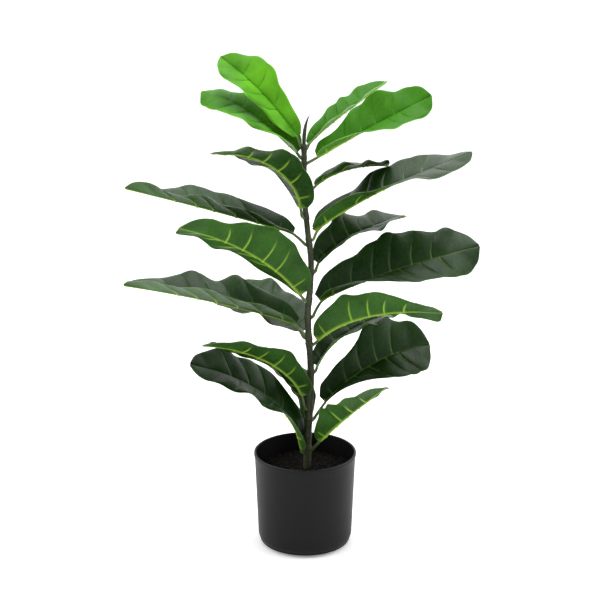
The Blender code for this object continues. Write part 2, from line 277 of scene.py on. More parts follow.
class Tree:
    """Adds nodes to a material's or a group's node tree, and links them."""

    def __init__(self, tree: bpy.types.NodeTree) -> None:
        """Work on one tree."""
        self.tree = tree

    def feed(self, node: Any, key: Any, value: Any) -> None:
        """Give one input of a node its value, or another node's output.

        Args:
            node: the node.
            key: the input's name or number.
            value: a plain value or an output socket.
        """
        if isinstance(value, bpy.types.NodeSocket):
            self.tree.links.new(value, node.inputs[key])
        else:
            node.inputs[key].default_value = value

    def add(self, kind: str, inputs: dict[Any, Any] | None = None, **settings: Any) -> Any:
        """Add one node.

        Args:
            kind: the node's type name.
            inputs: values or other nodes' outputs, by socket name or number.
            settings: the node's own properties.

        Returns:
            The node.
        """
        node = self.tree.nodes.new(kind)
        for key, value in settings.items():
            setattr(node, key, value)
        for key, value in (inputs or {}).items():
            self.feed(node, key, value)
        return node

    def math(self, operation: str, *values: Any) -> Any:
        """The result of one arithmetic step on numbers or sockets."""
        return self.add("ShaderNodeMath", dict(enumerate(values)), operation=operation).outputs[0]

    def remap(self, value: Any, low: float, high: float, to_low: float, to_high: float) -> Any:
        """A value moved from one range to another, and held inside it."""
        inputs = {0: value, 1: low, 2: high, 3: to_low, 4: to_high}
        return self.add("ShaderNodeMapRange", inputs, clamp=True).outputs[0]

    def stretch(self, noise: Any) -> Any:
        """The first output of a noise node, stretched over 0 to 1."""
        return self.remap(noise.outputs[0], NOISE_LOW, NOISE_HIGH, 0.0, 1.0)

    def blend(self, share: Any, first: Any, second: Any) -> Any:
        """A colour between two colours.

        Args:
            share: how much of the second there is, 0 to 1.
            first: a colour, or the socket that gives it.
            second: the same.

        Returns:
            The socket of the blended colour.
        """
        node = self.add("ShaderNodeMix", data_type="RGBA", clamp_factor=True)
        self.feed(node, MIX_SHARE, share)
        for key, colour in ((MIX_FIRST, first), (MIX_SECOND, second)):
            plain = isinstance(colour, tuple)
            self.feed(node, key, (*colour, 1.0) if plain else colour)
        return node.outputs[MIX_RESULT]

    def mark(self, name: str) -> Any:
        """The value of a named attribute on the piece."""
        return self.add("ShaderNodeAttribute", attribute_name=name).outputs["Fac"]

    def place(self, scale: Sequence[float] = (1, 1, 1)) -> Any:
        """The piece's own coordinates, in metres times a scale."""
        source = self.add("ShaderNodeTexCoord").outputs["Object"]
        return self.add("ShaderNodeMapping", {"Vector": source, "Scale": scale}).outputs[0]

    def on_blade(self, scale: Sequence[float] = (1, 1, 1)) -> Any:
        """Coordinates that follow the leaf blade, in metres times a scale."""
        source = self.add("ShaderNodeUVMap", uv_map="blade").outputs[0]
        return self.add("ShaderNodeMapping", {"Vector": source, "Scale": scale}).outputs[0]

    def group(self, tree: bpy.types.NodeTree, inputs: dict[str, Any]) -> Any:
        """Place a shader group and give it its inputs."""
        return self.add("ShaderNodeGroup", inputs, node_tree=tree)


def new_group(name: str, inputs: dict[str, tuple[str, Any]], outputs: Sequence[str]) -> Tree:
    """An empty shader group with its sockets.

    Args:
        name: the group's name.
        inputs: socket type and default value for each input.
        outputs: names of the outputs, which are all plain numbers.

    Returns:
        A tree with a group input and a group output node in it.
    """
    group = bpy.data.node_groups.new(name, "ShaderNodeTree")
    for key, (kind, value) in inputs.items():
        socket = group.interface.new_socket(key, in_out="INPUT", socket_type=kind)
        if kind == "NodeSocketFloat":
            socket.default_value = value
    for key in outputs:
        group.interface.new_socket(key, in_out="OUTPUT", socket_type="NodeSocketFloat")
    group.nodes.new("NodeGroupInput")
    group.nodes.new("NodeGroupOutput")
    return Tree(group)


def mottle_group() -> bpy.types.NodeTree:
    """Soft blotches and finer ones, for anything that grew or was moulded.

    Returns:
        The group, with outputs for the broad and for the fine blotches.
    """
    made = new_group(
        "mottle",
        {"Vector": ("NodeSocketVector", None), "Scale": ("NodeSocketFloat", 30.0),
         "Fine": ("NodeSocketFloat", 6.0)},
        ["Broad", "Fine"],
    )
    into, out = made.tree.nodes["Group Input"], made.tree.nodes["Group Output"]
    broad = made.add(
        "ShaderNodeTexNoise",
        {"Vector": into.outputs["Vector"], "Scale": into.outputs["Scale"], "Detail": 3.0},
    )
    finer = made.math("MULTIPLY", into.outputs["Scale"], into.outputs["Fine"])
    fine = made.add(
        "ShaderNodeTexNoise",
        {"Vector": into.outputs["Vector"], "Scale": finer, "Detail": 4.0, "Roughness": 0.6},
    )
    made.feed(out, "Broad", made.stretch(broad))
    made.feed(out, "Fine", made.stretch(fine))
    return made.tree


def net_group() -> bpy.types.NodeTree:
    """A net of fine lines, as small veins make in a blade and cracks make in bark.

    Returns:
        The group, whose one output is 1 on a line and 0 away from it.
    """
    made = new_group(
        "net",
        {"Vector": ("NodeSocketVector", None), "Scale": ("NodeSocketFloat", 200.0),
         "Width": ("NodeSocketFloat", 0.12)},
        ["Lines"],
    )
    into, out = made.tree.nodes["Group Input"], made.tree.nodes["Group Output"]
    cells = made.add(
        "ShaderNodeTexVoronoi",
        {"Vector": into.outputs["Vector"], "Scale": into.outputs["Scale"]},
        feature="DISTANCE_TO_EDGE",
    )
    share = made.math("DIVIDE", cells.outputs["Distance"], into.outputs["Width"])
    lines = made.math("SUBTRACT", 1.0, made.math("MINIMUM", share, 1.0))
    made.feed(out, "Lines", lines)
    return made.tree


def material_tree(name: str) -> tuple[bpy.types.Material, Tree, Any]:
    """A new material.

    Args:
        name: the material's name.

    Returns:
        The material, its tree and its Principled shader node.
    """
    made = bpy.data.materials.new(name)
    made.use_nodes = True
    return made, Tree(made.node_tree), made.node_tree.nodes["Principled BSDF"]


@dataclass(frozen=True)
class BladeFinish:
    """The colours and gloss of one side of a leaf."""

    name: str
    deep: Colour
    pale: Colour
    vein: Colour
    rim: Colour
    vein_share: float
    rough: tuple[float, float]
    gloss: float
    crisp: float = 1.0
    net_share: float = 0.04
    broad_share: float = 0.55
    fine_share: float = 0.08
    rim_start: float = 0.965
    rim_share: float = 0.75
    relief: float = 0.0003
    ladder_height: float = 0.7
    mesh_height: float = 0.3

    def build(self, mottle: bpy.types.NodeTree, net: bpy.types.NodeTree) -> bpy.types.Material:
        """Make the material.

        Args:
            mottle: the blotch group.
            net: the group that draws small veins.

        Returns:
            The material.
        """
        made, tree, shader = material_tree(self.name)
        spots = tree.group(mottle, {"Vector": tree.place(), "Scale": 17.0, "Fine": 12.0})
        ladder = tree.group(net, {"Vector": tree.on_blade((1.0, 0.45, 1.0)), "Scale": 210.0,
                                  "Width": 0.16})
        mesh = tree.group(net, {"Vector": tree.on_blade(), "Scale": 700.0, "Width": 0.25})
        broad = tree.math("MULTIPLY", spots.outputs["Broad"], self.broad_share)
        tone = tree.math("ADD", broad, tree.mark("tone"))
        speckled = tree.math("MULTIPLY", spots.outputs["Fine"], self.fine_share)
        small_veins = tree.math("MULTIPLY", ladder.outputs[0], self.net_share)
        line = tree.math("POWER", tree.mark("vein"), self.crisp)
        ribs = tree.math("MULTIPLY", line, self.vein_share)
        rim = tree.remap(tree.mark("rim"), self.rim_start, 1.0, 0.0, self.rim_share)
        body = tree.blend(tone, self.deep, self.pale)
        body = tree.blend(speckled, body, self.pale)
        body = tree.blend(small_veins, body, self.vein)
        body = tree.blend(ribs, body, self.vein)
        body = tree.blend(rim, body, self.rim)
        tree.feed(shader, "Base Color", body)
        rough = tree.remap(spots.outputs["Fine"], 0.0, 1.0, *self.rough)
        tree.feed(shader, "Roughness", rough)
        height = tree.math("ADD", tree.math("MULTIPLY", ladder.outputs[0], self.ladder_height),
                           tree.math("MULTIPLY", mesh.outputs[0], self.mesh_height))
        bump = tree.add("ShaderNodeBump", {"Height": height, "Strength": 0.2,
                                           "Distance": self.relief}, invert="upper" in self.name)
        tree.feed(shader, "Normal", bump.outputs[0])
        tree.feed(shader, "Specular IOR Level", self.gloss)
        return made


@dataclass(frozen=True)
class BarkFinish:
    """Green bark, bud scale or leaf stalk: streaked along its length."""

    name: str
    deep: Colour
    pale: Colour
    crack: Colour
    roughness: float
    relief: float
    along: float = 0.25
    crack_share: float = 0.8
    rough_spread: float = 0.1

    def build(self, mottle: bpy.types.NodeTree, net: bpy.types.NodeTree) -> bpy.types.Material:
        """Make the material.

        Args:
            mottle: the blotch group.
            net: the group that draws cracks.

        Returns:
            The material.
        """
        made, tree, shader = material_tree(self.name)
        drawn_out = tree.place((1, 1, self.along))
        streaks = tree.group(mottle, {"Vector": drawn_out, "Scale": 160.0, "Fine": 5.0})
        cracks = tree.group(net, {"Vector": drawn_out, "Scale": 420.0, "Width": 0.12})
        broken = tree.math("MULTIPLY", streaks.outputs["Fine"], self.crack_share)
        lines = tree.math("MULTIPLY", cracks.outputs[0], broken)
        body = tree.blend(streaks.outputs["Broad"], self.deep, self.pale)
        body = tree.blend(lines, body, self.crack)
        body = tree.blend(tree.mark("scar"), body, self.crack)
        tree.feed(shader, "Base Color", body)
        rough = tree.remap(streaks.outputs["Fine"], 0, 1, self.roughness - self.rough_spread,
                           self.roughness + self.rough_spread)
        tree.feed(shader, "Roughness", rough)
        height = tree.math("SUBTRACT", streaks.outputs["Fine"], lines)
        bump = tree.add("ShaderNodeBump", {"Height": height, "Strength": 0.5,
                                           "Distance": self.relief})
        tree.feed(shader, "Normal", bump.outputs[0])
        return made


@dataclass(frozen=True)
class PlasticFinish:
    """Moulded black plastic with a satin face and a few faint rubs."""

    name: str = "black_pot_plastic"
    body: Colour = (0.0030, 0.0032, 0.0032)
    worn: Colour = (0.0080, 0.0084, 0.0084)
    cloud_share: float = 0.25
    rub_share: float = 0.15
    rough: tuple[float, float] = (0.46, 0.54)
    gloss: float = 0.15
    relief: float = 0.0002

    def build(self, mottle: bpy.types.NodeTree, net: bpy.types.NodeTree) -> bpy.types.Material:
        """Make the material.

        Args:
            mottle: the blotch group.
            net: the group that draws rubs.

        Returns:
            The material.
        """
        made, tree, shader = material_tree(self.name)
        cloud = tree.group(mottle, {"Vector": tree.place((1, 1, 0.5)), "Scale": 22.0,
                                    "Fine": 40.0})
        rub = tree.group(net, {"Vector": tree.place((1.0, 1.0, 0.15)), "Scale": 60.0,
                               "Width": 0.02})
        rubbed = tree.math("MULTIPLY", rub.outputs[0], cloud.outputs["Broad"])
        share = tree.math("ADD", tree.math("MULTIPLY", cloud.outputs["Broad"], self.cloud_share),
                          tree.math("MULTIPLY", rubbed, self.rub_share))
        tree.feed(shader, "Base Color", tree.blend(share, self.body, self.worn))
        tree.feed(shader, "Roughness", tree.remap(cloud.outputs["Broad"], 0, 1, *self.rough))
        bump = tree.add("ShaderNodeBump", {"Height": cloud.outputs["Fine"], "Strength": 0.12,
                                           "Distance": self.relief})
        tree.feed(shader, "Normal", bump.outputs[0])
        tree.feed(shader, "Specular IOR Level", self.gloss)
        return made


@dataclass(frozen=True)
class SoilFinish:
    """Dark, moist potting mix."""

    name: str
    deep: Colour
    pale: Colour
    rough: tuple[float, float] = (0.75, 0.9)
    gloss: float = 0.12
    relief: float = 0.0008

    def build(self, mottle: bpy.types.NodeTree, net: bpy.types.NodeTree) -> bpy.types.Material:
        """Make the material.

        Args:
            mottle: the blotch group.
            net: the group that draws fibres.

        Returns:
            The material.
        """
        made, tree, shader = material_tree(self.name)
        lumps = tree.group(mottle, {"Vector": tree.place(), "Scale": 180.0, "Fine": 6.0})
        fibres = tree.group(net, {"Vector": tree.place(), "Scale": 500.0, "Width": 0.1})
        share = tree.math("MULTIPLY", lumps.outputs["Broad"], lumps.outputs["Fine"])
        tree.feed(shader, "Base Color", tree.blend(share, self.deep, self.pale))
        tree.feed(shader, "Roughness", tree.remap(lumps.outputs["Fine"], 0, 1, *self.rough))
        height = tree.math("ADD", lumps.outputs["Fine"], fibres.outputs[0])
        bump = tree.add("ShaderNodeBump", {"Height": height, "Strength": 0.7,
                                           "Distance": self.relief})
        tree.feed(shader, "Normal", bump.outputs[0])
        tree.feed(shader, "Specular IOR Level", self.gloss)
        return made


@dataclass(frozen=True)
class Finishes:
    """Every material of the object, made once."""

    upper: dict[Age, bpy.types.Material]
    under: dict[Age, bpy.types.Material]
    stalk: bpy.types.Material
    bark: bpy.types.Material
    lenticel: bpy.types.Material
    bud: bpy.types.Material
    pot: bpy.types.Material
    soil: bpy.types.Material
    crumb: bpy.types.Material

    @classmethod
    def make(cls) -> "Finishes":
        """Build the shader groups and all materials.

        Returns:
            The finished set.
        """
        kit = (mottle_group(), net_group())
        upper = BladeFinish(
            "mature_upper", deep=(0.0040, 0.019, 0.002), pale=(0.018, 0.068, 0.009),
            vein=(0.140, 0.270, 0.040), rim=(0.060, 0.130, 0.025), vein_share=0.65,
            rough=(0.32, 0.48), gloss=0.20, crisp=2.5,
        )
        under = BladeFinish(
            "mature_under", deep=(0.010, 0.038, 0.006), pale=(0.048, 0.158, 0.020),
            vein=(0.250, 0.430, 0.040), rim=(0.110, 0.250, 0.040), vein_share=0.95,
            rough=(0.40, 0.56), gloss=0.12,
        )
        young_upper = BladeFinish(
            "young_upper", deep=(0.026, 0.130, 0.003), pale=(0.170, 0.540, 0.018),
            vein=(0.070, 0.270, 0.015), rim=(0.220, 0.520, 0.060), vein_share=0.6,
            rough=(0.40, 0.54), gloss=0.09, crisp=2.0,
        )
        young_under = BladeFinish(
            "young_under", deep=(0.060, 0.200, 0.020), pale=(0.200, 0.520, 0.060),
            vein=(0.420, 0.640, 0.100), rim=(0.250, 0.500, 0.080), vein_share=0.8,
            rough=(0.42, 0.55), gloss=0.3, net_share=0.05,
        )
        return cls(
            upper={Age.MATURE: upper.build(*kit), Age.YOUNG: young_upper.build(*kit)},
            under={Age.MATURE: under.build(*kit), Age.YOUNG: young_under.build(*kit)},
            stalk=BarkFinish("leaf_stalk", (0.045, 0.085, 0.022), (0.130, 0.200, 0.050),
                             (0.060, 0.055, 0.025), 0.48, 0.0003).build(*kit),
            bark=BarkFinish("stem_bark", (0.017, 0.026, 0.009), (0.052, 0.070, 0.024),
                            (0.024, 0.017, 0.010), 0.66, 0.0006).build(*kit),
            lenticel=BarkFinish("lenticel", (0.110, 0.095, 0.060), (0.190, 0.165, 0.105),
                                (0.060, 0.045, 0.030), 0.8, 0.0004, 1.0).build(*kit),
            bud=BarkFinish("bud_scale", (0.012, 0.013, 0.006), (0.034, 0.032, 0.014),
                           (0.030, 0.018, 0.009), 0.5, 0.0003).build(*kit),
            pot=PlasticFinish().build(*kit),
            soil=SoilFinish("potting_soil", (0.0025, 0.0020, 0.0016),
                            (0.012, 0.009, 0.006)).build(*kit),
            crumb=SoilFinish("soil_crumb", (0.003, 0.0022, 0.0016),
                             (0.024, 0.017, 0.011)).build(*kit),
        )


# ---------------------------------------------------------------- the plant's sizes


# Lengths in metres and angles in degrees, as the solids have them.
LIP_HEIGHT = 0.005
LIP_PROUD = 0.0007
BASE_RADIUS = 0.0687
BASE_ROUND = 0.015
POT_WALL = 0.0024
POT_FLOOR = 0.004
RIM_ROUND = 0.0009
SOIL_CROWN = 0.003
SOIL_WAVE = 0.0008
SOIL_WAVES = 5
STEM_FOOT_X = 0.003
STEM_FOOT_RADIUS = 0.0056
STEM_TOP_RADIUS = 0.0034
NODE_SWELL = 0.0007
NODE_SPREAD = 0.0045
BUD_LENGTH = 0.046
BUD_RADIUS = 0.0026
BUD_HOOK = 0.011
BUD_LEAN = 35.0
BLADE_THICKNESS = 0.0008
PETIOLE_FOOT_RADIUS = 0.0023
PETIOLE_TOP_RADIUS = 0.0017
PETIOLE_GAP = 0.0005
AXIL_ANGLE = 35.0
STALK_BEND = 0.4
SEAT_LENGTH = 0.004
BLADE_START = 0.003
BLADE_WAVES = 3
WAVE_STAGGER = 0.27
SPINE_STEPS = 160


@dataclass(frozen=True)
class Measures:
    """The sizes that everything is placed by, read from the frame."""

    pot_height: float
    rim_radius: float
    soil_top: float
    stem_foot_x: float
    stem_top: float

    @classmethod
    def from_frame(cls) -> "Measures":
        """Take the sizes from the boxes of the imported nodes.

        Returns:
            The sizes.
        """
        pot_low, pot_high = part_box("pot")
        return cls(
            pot_height=pot_high.z,
            rim_radius=(pot_high.x - pot_low.x) / 2,
            soil_top=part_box("soil")[1].z - SOIL_CROWN,
            stem_foot_x=STEM_FOOT_X,
            stem_top=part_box("stem")[1].z,
        )


# How far the stem leans off its foot: share of its height, x, y.
STEM_SWAY = (
    (0.00, 0.000, 0.000),
    (0.10, 0.001, 0.000),
    (0.22, 0.004, 0.001),
    (0.33, 0.005, 0.002),
    (0.42, 0.002, 0.001),
    (0.50, 0.001, 0.000),
    (0.58, 0.004, -0.001),
    (0.66, 0.005, -0.001),
    (0.75, 0.000, 0.000),
    (0.84, -0.004, 0.001),
    (1.00, -0.005, 0.000),
)
# Half a blade's margin, from the lobe beside the petiole to the tip: share of the
# way round, distance along the midrib in lengths, distance out in half widths.
MARGIN = (
    (0.00, -0.030, 0.22),
    (0.10, 0.040, 0.48),
    (0.22, 0.150, 0.70),
    (0.34, 0.280, 0.84),
    (0.48, 0.440, 0.97),
    (0.60, 0.580, 1.00),
    (0.72, 0.730, 0.92),
    (0.84, 0.870, 0.70),
    (0.93, 0.955, 0.40),
    (1.00, 1.000, 0.00),
)
# What a full waist takes off that margin, which gives the leaf its fiddle shape.
WAIST = (
    (0.00, 0.00),
    (0.10, 0.05),
    (0.22, 0.20),
    (0.34, 0.26),
    (0.48, 0.14),
    (0.60, 0.02),
    (0.72, -0.03),
    (0.84, -0.04),
    (1.00, 0.00),
)
# What a full neck takes off it further out, which leaves a narrower lobe at the tip.
NECK = (
    (0.00, 0.00),
    (0.22, 0.00),
    (0.34, -0.05),
    (0.48, -0.03),
    (0.60, 0.16),
    (0.72, 0.36),
    (0.84, 0.22),
    (0.93, 0.00),
    (1.00, 0.00),
)
# Where a side rib that leaves the midrib at one share meets the margin.
RIB_ENDS = (
    (0.00, 0.00),
    (0.05, 0.17),
    (0.15, 0.32),
    (0.30, 0.46),
    (0.50, 0.62),
    (0.70, 0.77),
    (0.85, 0.88),
    (1.00, 1.00),
)


@dataclass(frozen=True)
class Habit:
    """How one leaf grows. Lengths in metres, angles in degrees."""

    node: float
    azimuth: float
    petiole: float
    leave: float
    rise: float
    droop: float
    length: float
    width: float
    bend: float = 0.6
    sweep: float = 0.0
    roll: float = 0.0
    twist: float = 0.0
    fold: float = 30.0
    open: float = 10.0
    waist: float = 0.6
    neck: float = 0.0
    ripple: float = 0.0015
    phase: float = 0.0
    ribs: int = 6
    tone: float = 0.0
    age: Age = Age.MATURE


# From the lowest leaf to the highest.
HABITS = (
    Habit(0.054, -166, 0.015, 75, 88, 74, 0.222, 0.108, bend=0.55, roll=-18, open=0, waist=0.8,
          ribs=5, tone=-0.05),
    Habit(0.064, -38, 0.030, 49, 48, 7, 0.150, 0.080, roll=-15, fold=40, waist=0.3, neck=0.4,
          phase=0.3, ribs=4, tone=-0.1),
    Habit(0.108, 112, 0.028, 84, 72, 62, 0.120, 0.066, sweep=45, roll=12, fold=40, waist=0.3,
          phase=0.6, ribs=4),
    Habit(0.158, 20, 0.038, 56, 43, 42, 0.178, 0.110, bend=1.0, roll=25, twist=26, fold=48,
          waist=1.2, phase=0.1, ribs=5, tone=-0.1),
    Habit(0.197, -150, 0.030, 78, 66, 55, 0.186, 0.115, roll=20, fold=15, open=5, waist=0.9,
          neck=0.2, phase=0.8, ribs=5, tone=-0.25),
    Habit(0.310, 22, 0.015, 70, 66, 65, 0.150, 0.080, phase=0.5, ribs=4, tone=-0.05),
    Habit(0.399, -25, 0.018, 43, 47, 46, 0.195, 0.098, roll=-30, twist=-16, fold=50, open=-5,
          waist=0.3, neck=1.0, phase=0.2, ribs=5),
    Habit(0.414, 120, 0.022, 30, 20, 20, 0.185, 0.105, sweep=55, roll=-10, fold=10, waist=0.3,
          neck=0.3, phase=0.9, ribs=5, tone=-0.1),
    Habit(0.419, 178, 0.032, 65, 19, 11, 0.245, 0.115, roll=-8, twist=20, fold=40, open=20,
          waist=0.4, neck=0.2, ripple=0.0030, phase=0.4, ribs=6, tone=-0.05),
    Habit(0.483, 10, 0.035, 70, 25, 14, 0.236, 0.118, roll=10, twist=34, fold=52, open=-10,
          waist=0.3, neck=0.3, phase=0.7, ribs=6, tone=-0.05),
    Habit(0.537, -152, 0.020, 50, 52, 36, 0.213, 0.128, bend=0.8, roll=30, fold=25, waist=0.2,
          neck=0.7, phase=0.1, ribs=5, tone=0.05),
    Habit(0.621, 25, 0.020, 74, 46, 42, 0.147, 0.088, roll=25, twist=-35, fold=45, open=5,
          waist=0.4, phase=0.6, ribs=5, tone=-0.05),
    Habit(0.705, 178, 0.032, 48, 17, 4, 0.236, 0.098, roll=-8, twist=24, fold=34, open=20,
          neck=0.3, ripple=0.0025, phase=0.3),
    Habit(0.719, 5, 0.022, 74, 38, 20, 0.237, 0.112, roll=-8, twist=16, fold=38, open=-8,
          waist=0.4, neck=0.2, phase=0.8, ribs=6, tone=-0.1),
    Habit(0.788, -148, 0.020, 78, 84, 84, 0.172, 0.108, roll=15, fold=22, open=0, waist=0.7,
          neck=0.6, phase=0.5, ribs=5, tone=-0.25),
    Habit(0.852, 28, 0.022, 44, 36, 46, 0.118, 0.055, roll=-15, phase=0.2, ribs=4, tone=-0.1),
    Habit(0.945, 3, 0.022, 28, 32, 6, 0.172, 0.095, roll=5, twist=40, fold=40, open=5,
          waist=1.0, neck=0.5, phase=0.9, ribs=5, tone=-0.42, age=Age.YOUNG),
    Habit(0.960, 162, 0.015, 56, 40, 36, 0.158, 0.094, bend=2.0, roll=-18, fold=45, open=-20,
          waist=0.5, neck=0.7, phase=0.4, ribs=5, tone=-0.12, age=Age.YOUNG),
    Habit(0.985, 48, 0.015, 56, 27, 9, 0.178, 0.049, twist=-10, fold=45, open=20, waist=0.5,
          phase=0.7, ribs=5, tone=-0.4, age=Age.YOUNG),
    Habit(0.990, 150, 0.022, 70, 50, 22, 0.156, 0.068, bend=1.0, roll=-32, fold=22, open=18,
          waist=0.7, phase=0.1, ribs=4, tone=-0.03, age=Age.YOUNG),
)


class Spine:
    """The centre line of one leaf, from its seat on the stem to the blade's tip."""

    def __init__(self, leaf: Habit, stem: "Stem") -> None:
        """Grow the line.

        Args:
            leaf: how the leaf grows.
            stem: what it grows from.
        """
        self.leaf = leaf
        turn = radians(leaf.azimuth)
        clear = float(stem.radius(leaf.node)) + PETIOLE_GAP
        seat = stem.axis(leaf.node)[0] + clear * np.array([cos(turn), sin(turn), 0])
        stalk = np.linspace(-leaf.petiole, 0, SPINE_STEPS // 4)
        blade = np.linspace(0, leaf.length, SPINE_STEPS)[1:]
        self.reach = np.concatenate([stalk, blade])
        middle = (self.reach[1:] + self.reach[:-1]) / 2
        steps = self.along(middle) * np.diff(self.reach)[:, None]
        self.points = np.vstack([seat, seat + np.cumsum(steps, axis=0)])

    def climb(self, reach: Array) -> Array:
        """How steeply the leaf climbs.

        Args:
            reach: distances from the blade's foot, below 0 on the petiole.

        Returns:
            The angles above level, in radians.
        """
        leaf = self.leaf
        back = np.clip(-reach / leaf.petiole, 0, 1)
        stalk = leaf.rise + (leaf.leave - leaf.rise) * back**STALK_BEND
        seated = ease((reach + leaf.petiole) / SEAT_LENGTH)
        stalk = AXIL_ANGLE + (stalk - AXIL_ANGLE) * seated
        blade = leaf.rise - leaf.droop * np.clip(reach / leaf.length, 0, 1) ** leaf.bend
        return np.radians(np.where(reach < 0, stalk, blade))

    def heading(self, reach: Array) -> Array:
        """Direction in plan, in radians."""
        leaf = self.leaf
        return np.radians(leaf.azimuth + leaf.sweep * np.clip(reach / leaf.length, 0, 1))

    def along(self, reach: Array) -> Array:
        """Which way the leaf grows.

        Args:
            reach: distances from the blade's foot.

        Returns:
            One unit direction for each.
        """
        climb, heading = self.climb(reach), self.heading(reach)
        flat = np.cos(climb)
        return np.stack([flat * np.cos(heading), flat * np.sin(heading), np.sin(climb)], -1)

    def at(self, reach: Any) -> Array:
        """Points on the centre line, which runs on straight past its ends.

        Args:
            reach: distances from the blade's foot.

        Returns:
            One point for each.
        """
        reach = np.asarray(reach, float)
        held = np.clip(reach, self.reach[0], self.reach[-1])
        point = np.stack([np.interp(held, self.reach, self.points[:, k]) for k in range(3)], -1)
        return point + self.along(held) * (reach - held)[..., None]

    def sides(self, reach: Any) -> tuple[Array, Array]:
        """How the leaf lies about its centre line.

        Args:
            reach: distances from the blade's foot.

        Returns:
            Unit directions to the leaf's left, and out of its upper face.
        """
        leaf = self.leaf
        held = np.clip(np.asarray(reach, float), self.reach[0], self.reach[-1])
        climb = self.climb(held) * ease((held + leaf.petiole) / SEAT_LENGTH)
        heading = self.heading(held)
        left = np.stack([-np.sin(heading), np.cos(heading), np.zeros_like(heading)], -1)
        upper = np.stack(
            [-np.sin(climb) * np.cos(heading), -np.sin(climb) * np.sin(heading), np.cos(climb)], -1
        )
        roll = np.radians(leaf.roll + leaf.twist * np.clip(held / leaf.length, 0, 1))
        turned_by, risen = np.cos(roll)[..., None], np.sin(roll)[..., None]
        return turned_by * left + risen * upper, turned_by * upper - risen * left


def margin(leaf: Habit, share: Any) -> tuple[Array, Array]:
    """Where the blade's margin lies.

    Args:
        leaf: how the leaf grows.
        share: how far round its half of the blade, from the petiole to the tip.

    Returns:
        The distances along the midrib, and those out from it.
    """
    line = through(MARGIN, share)
    out = line[:, 1] - leaf.waist * through(WAIST, share)[:, 0]
    out = out - leaf.neck * through(NECK, share)[:, 0]
    return line[:, 0] * leaf.length, np.maximum(out, 0) * leaf.width / 2


def settle(piece: bpy.types.Object, slot: str, *nodes: str) -> None:
    """Let a piece ride on the plant's body, in place of its CAD nodes.

    Args:
        piece: the object.
        slot: not used.
        nodes: the CAD nodes that it stands for.
    """
    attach(piece, "root")
    if nodes:
        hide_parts(*nodes)


class Maker(Protocol):
    """Anything that makes pieces of the object."""

    def build(self, finishes: Finishes) -> list[bpy.types.Object]:
        """Make the pieces and fit them to the frame."""


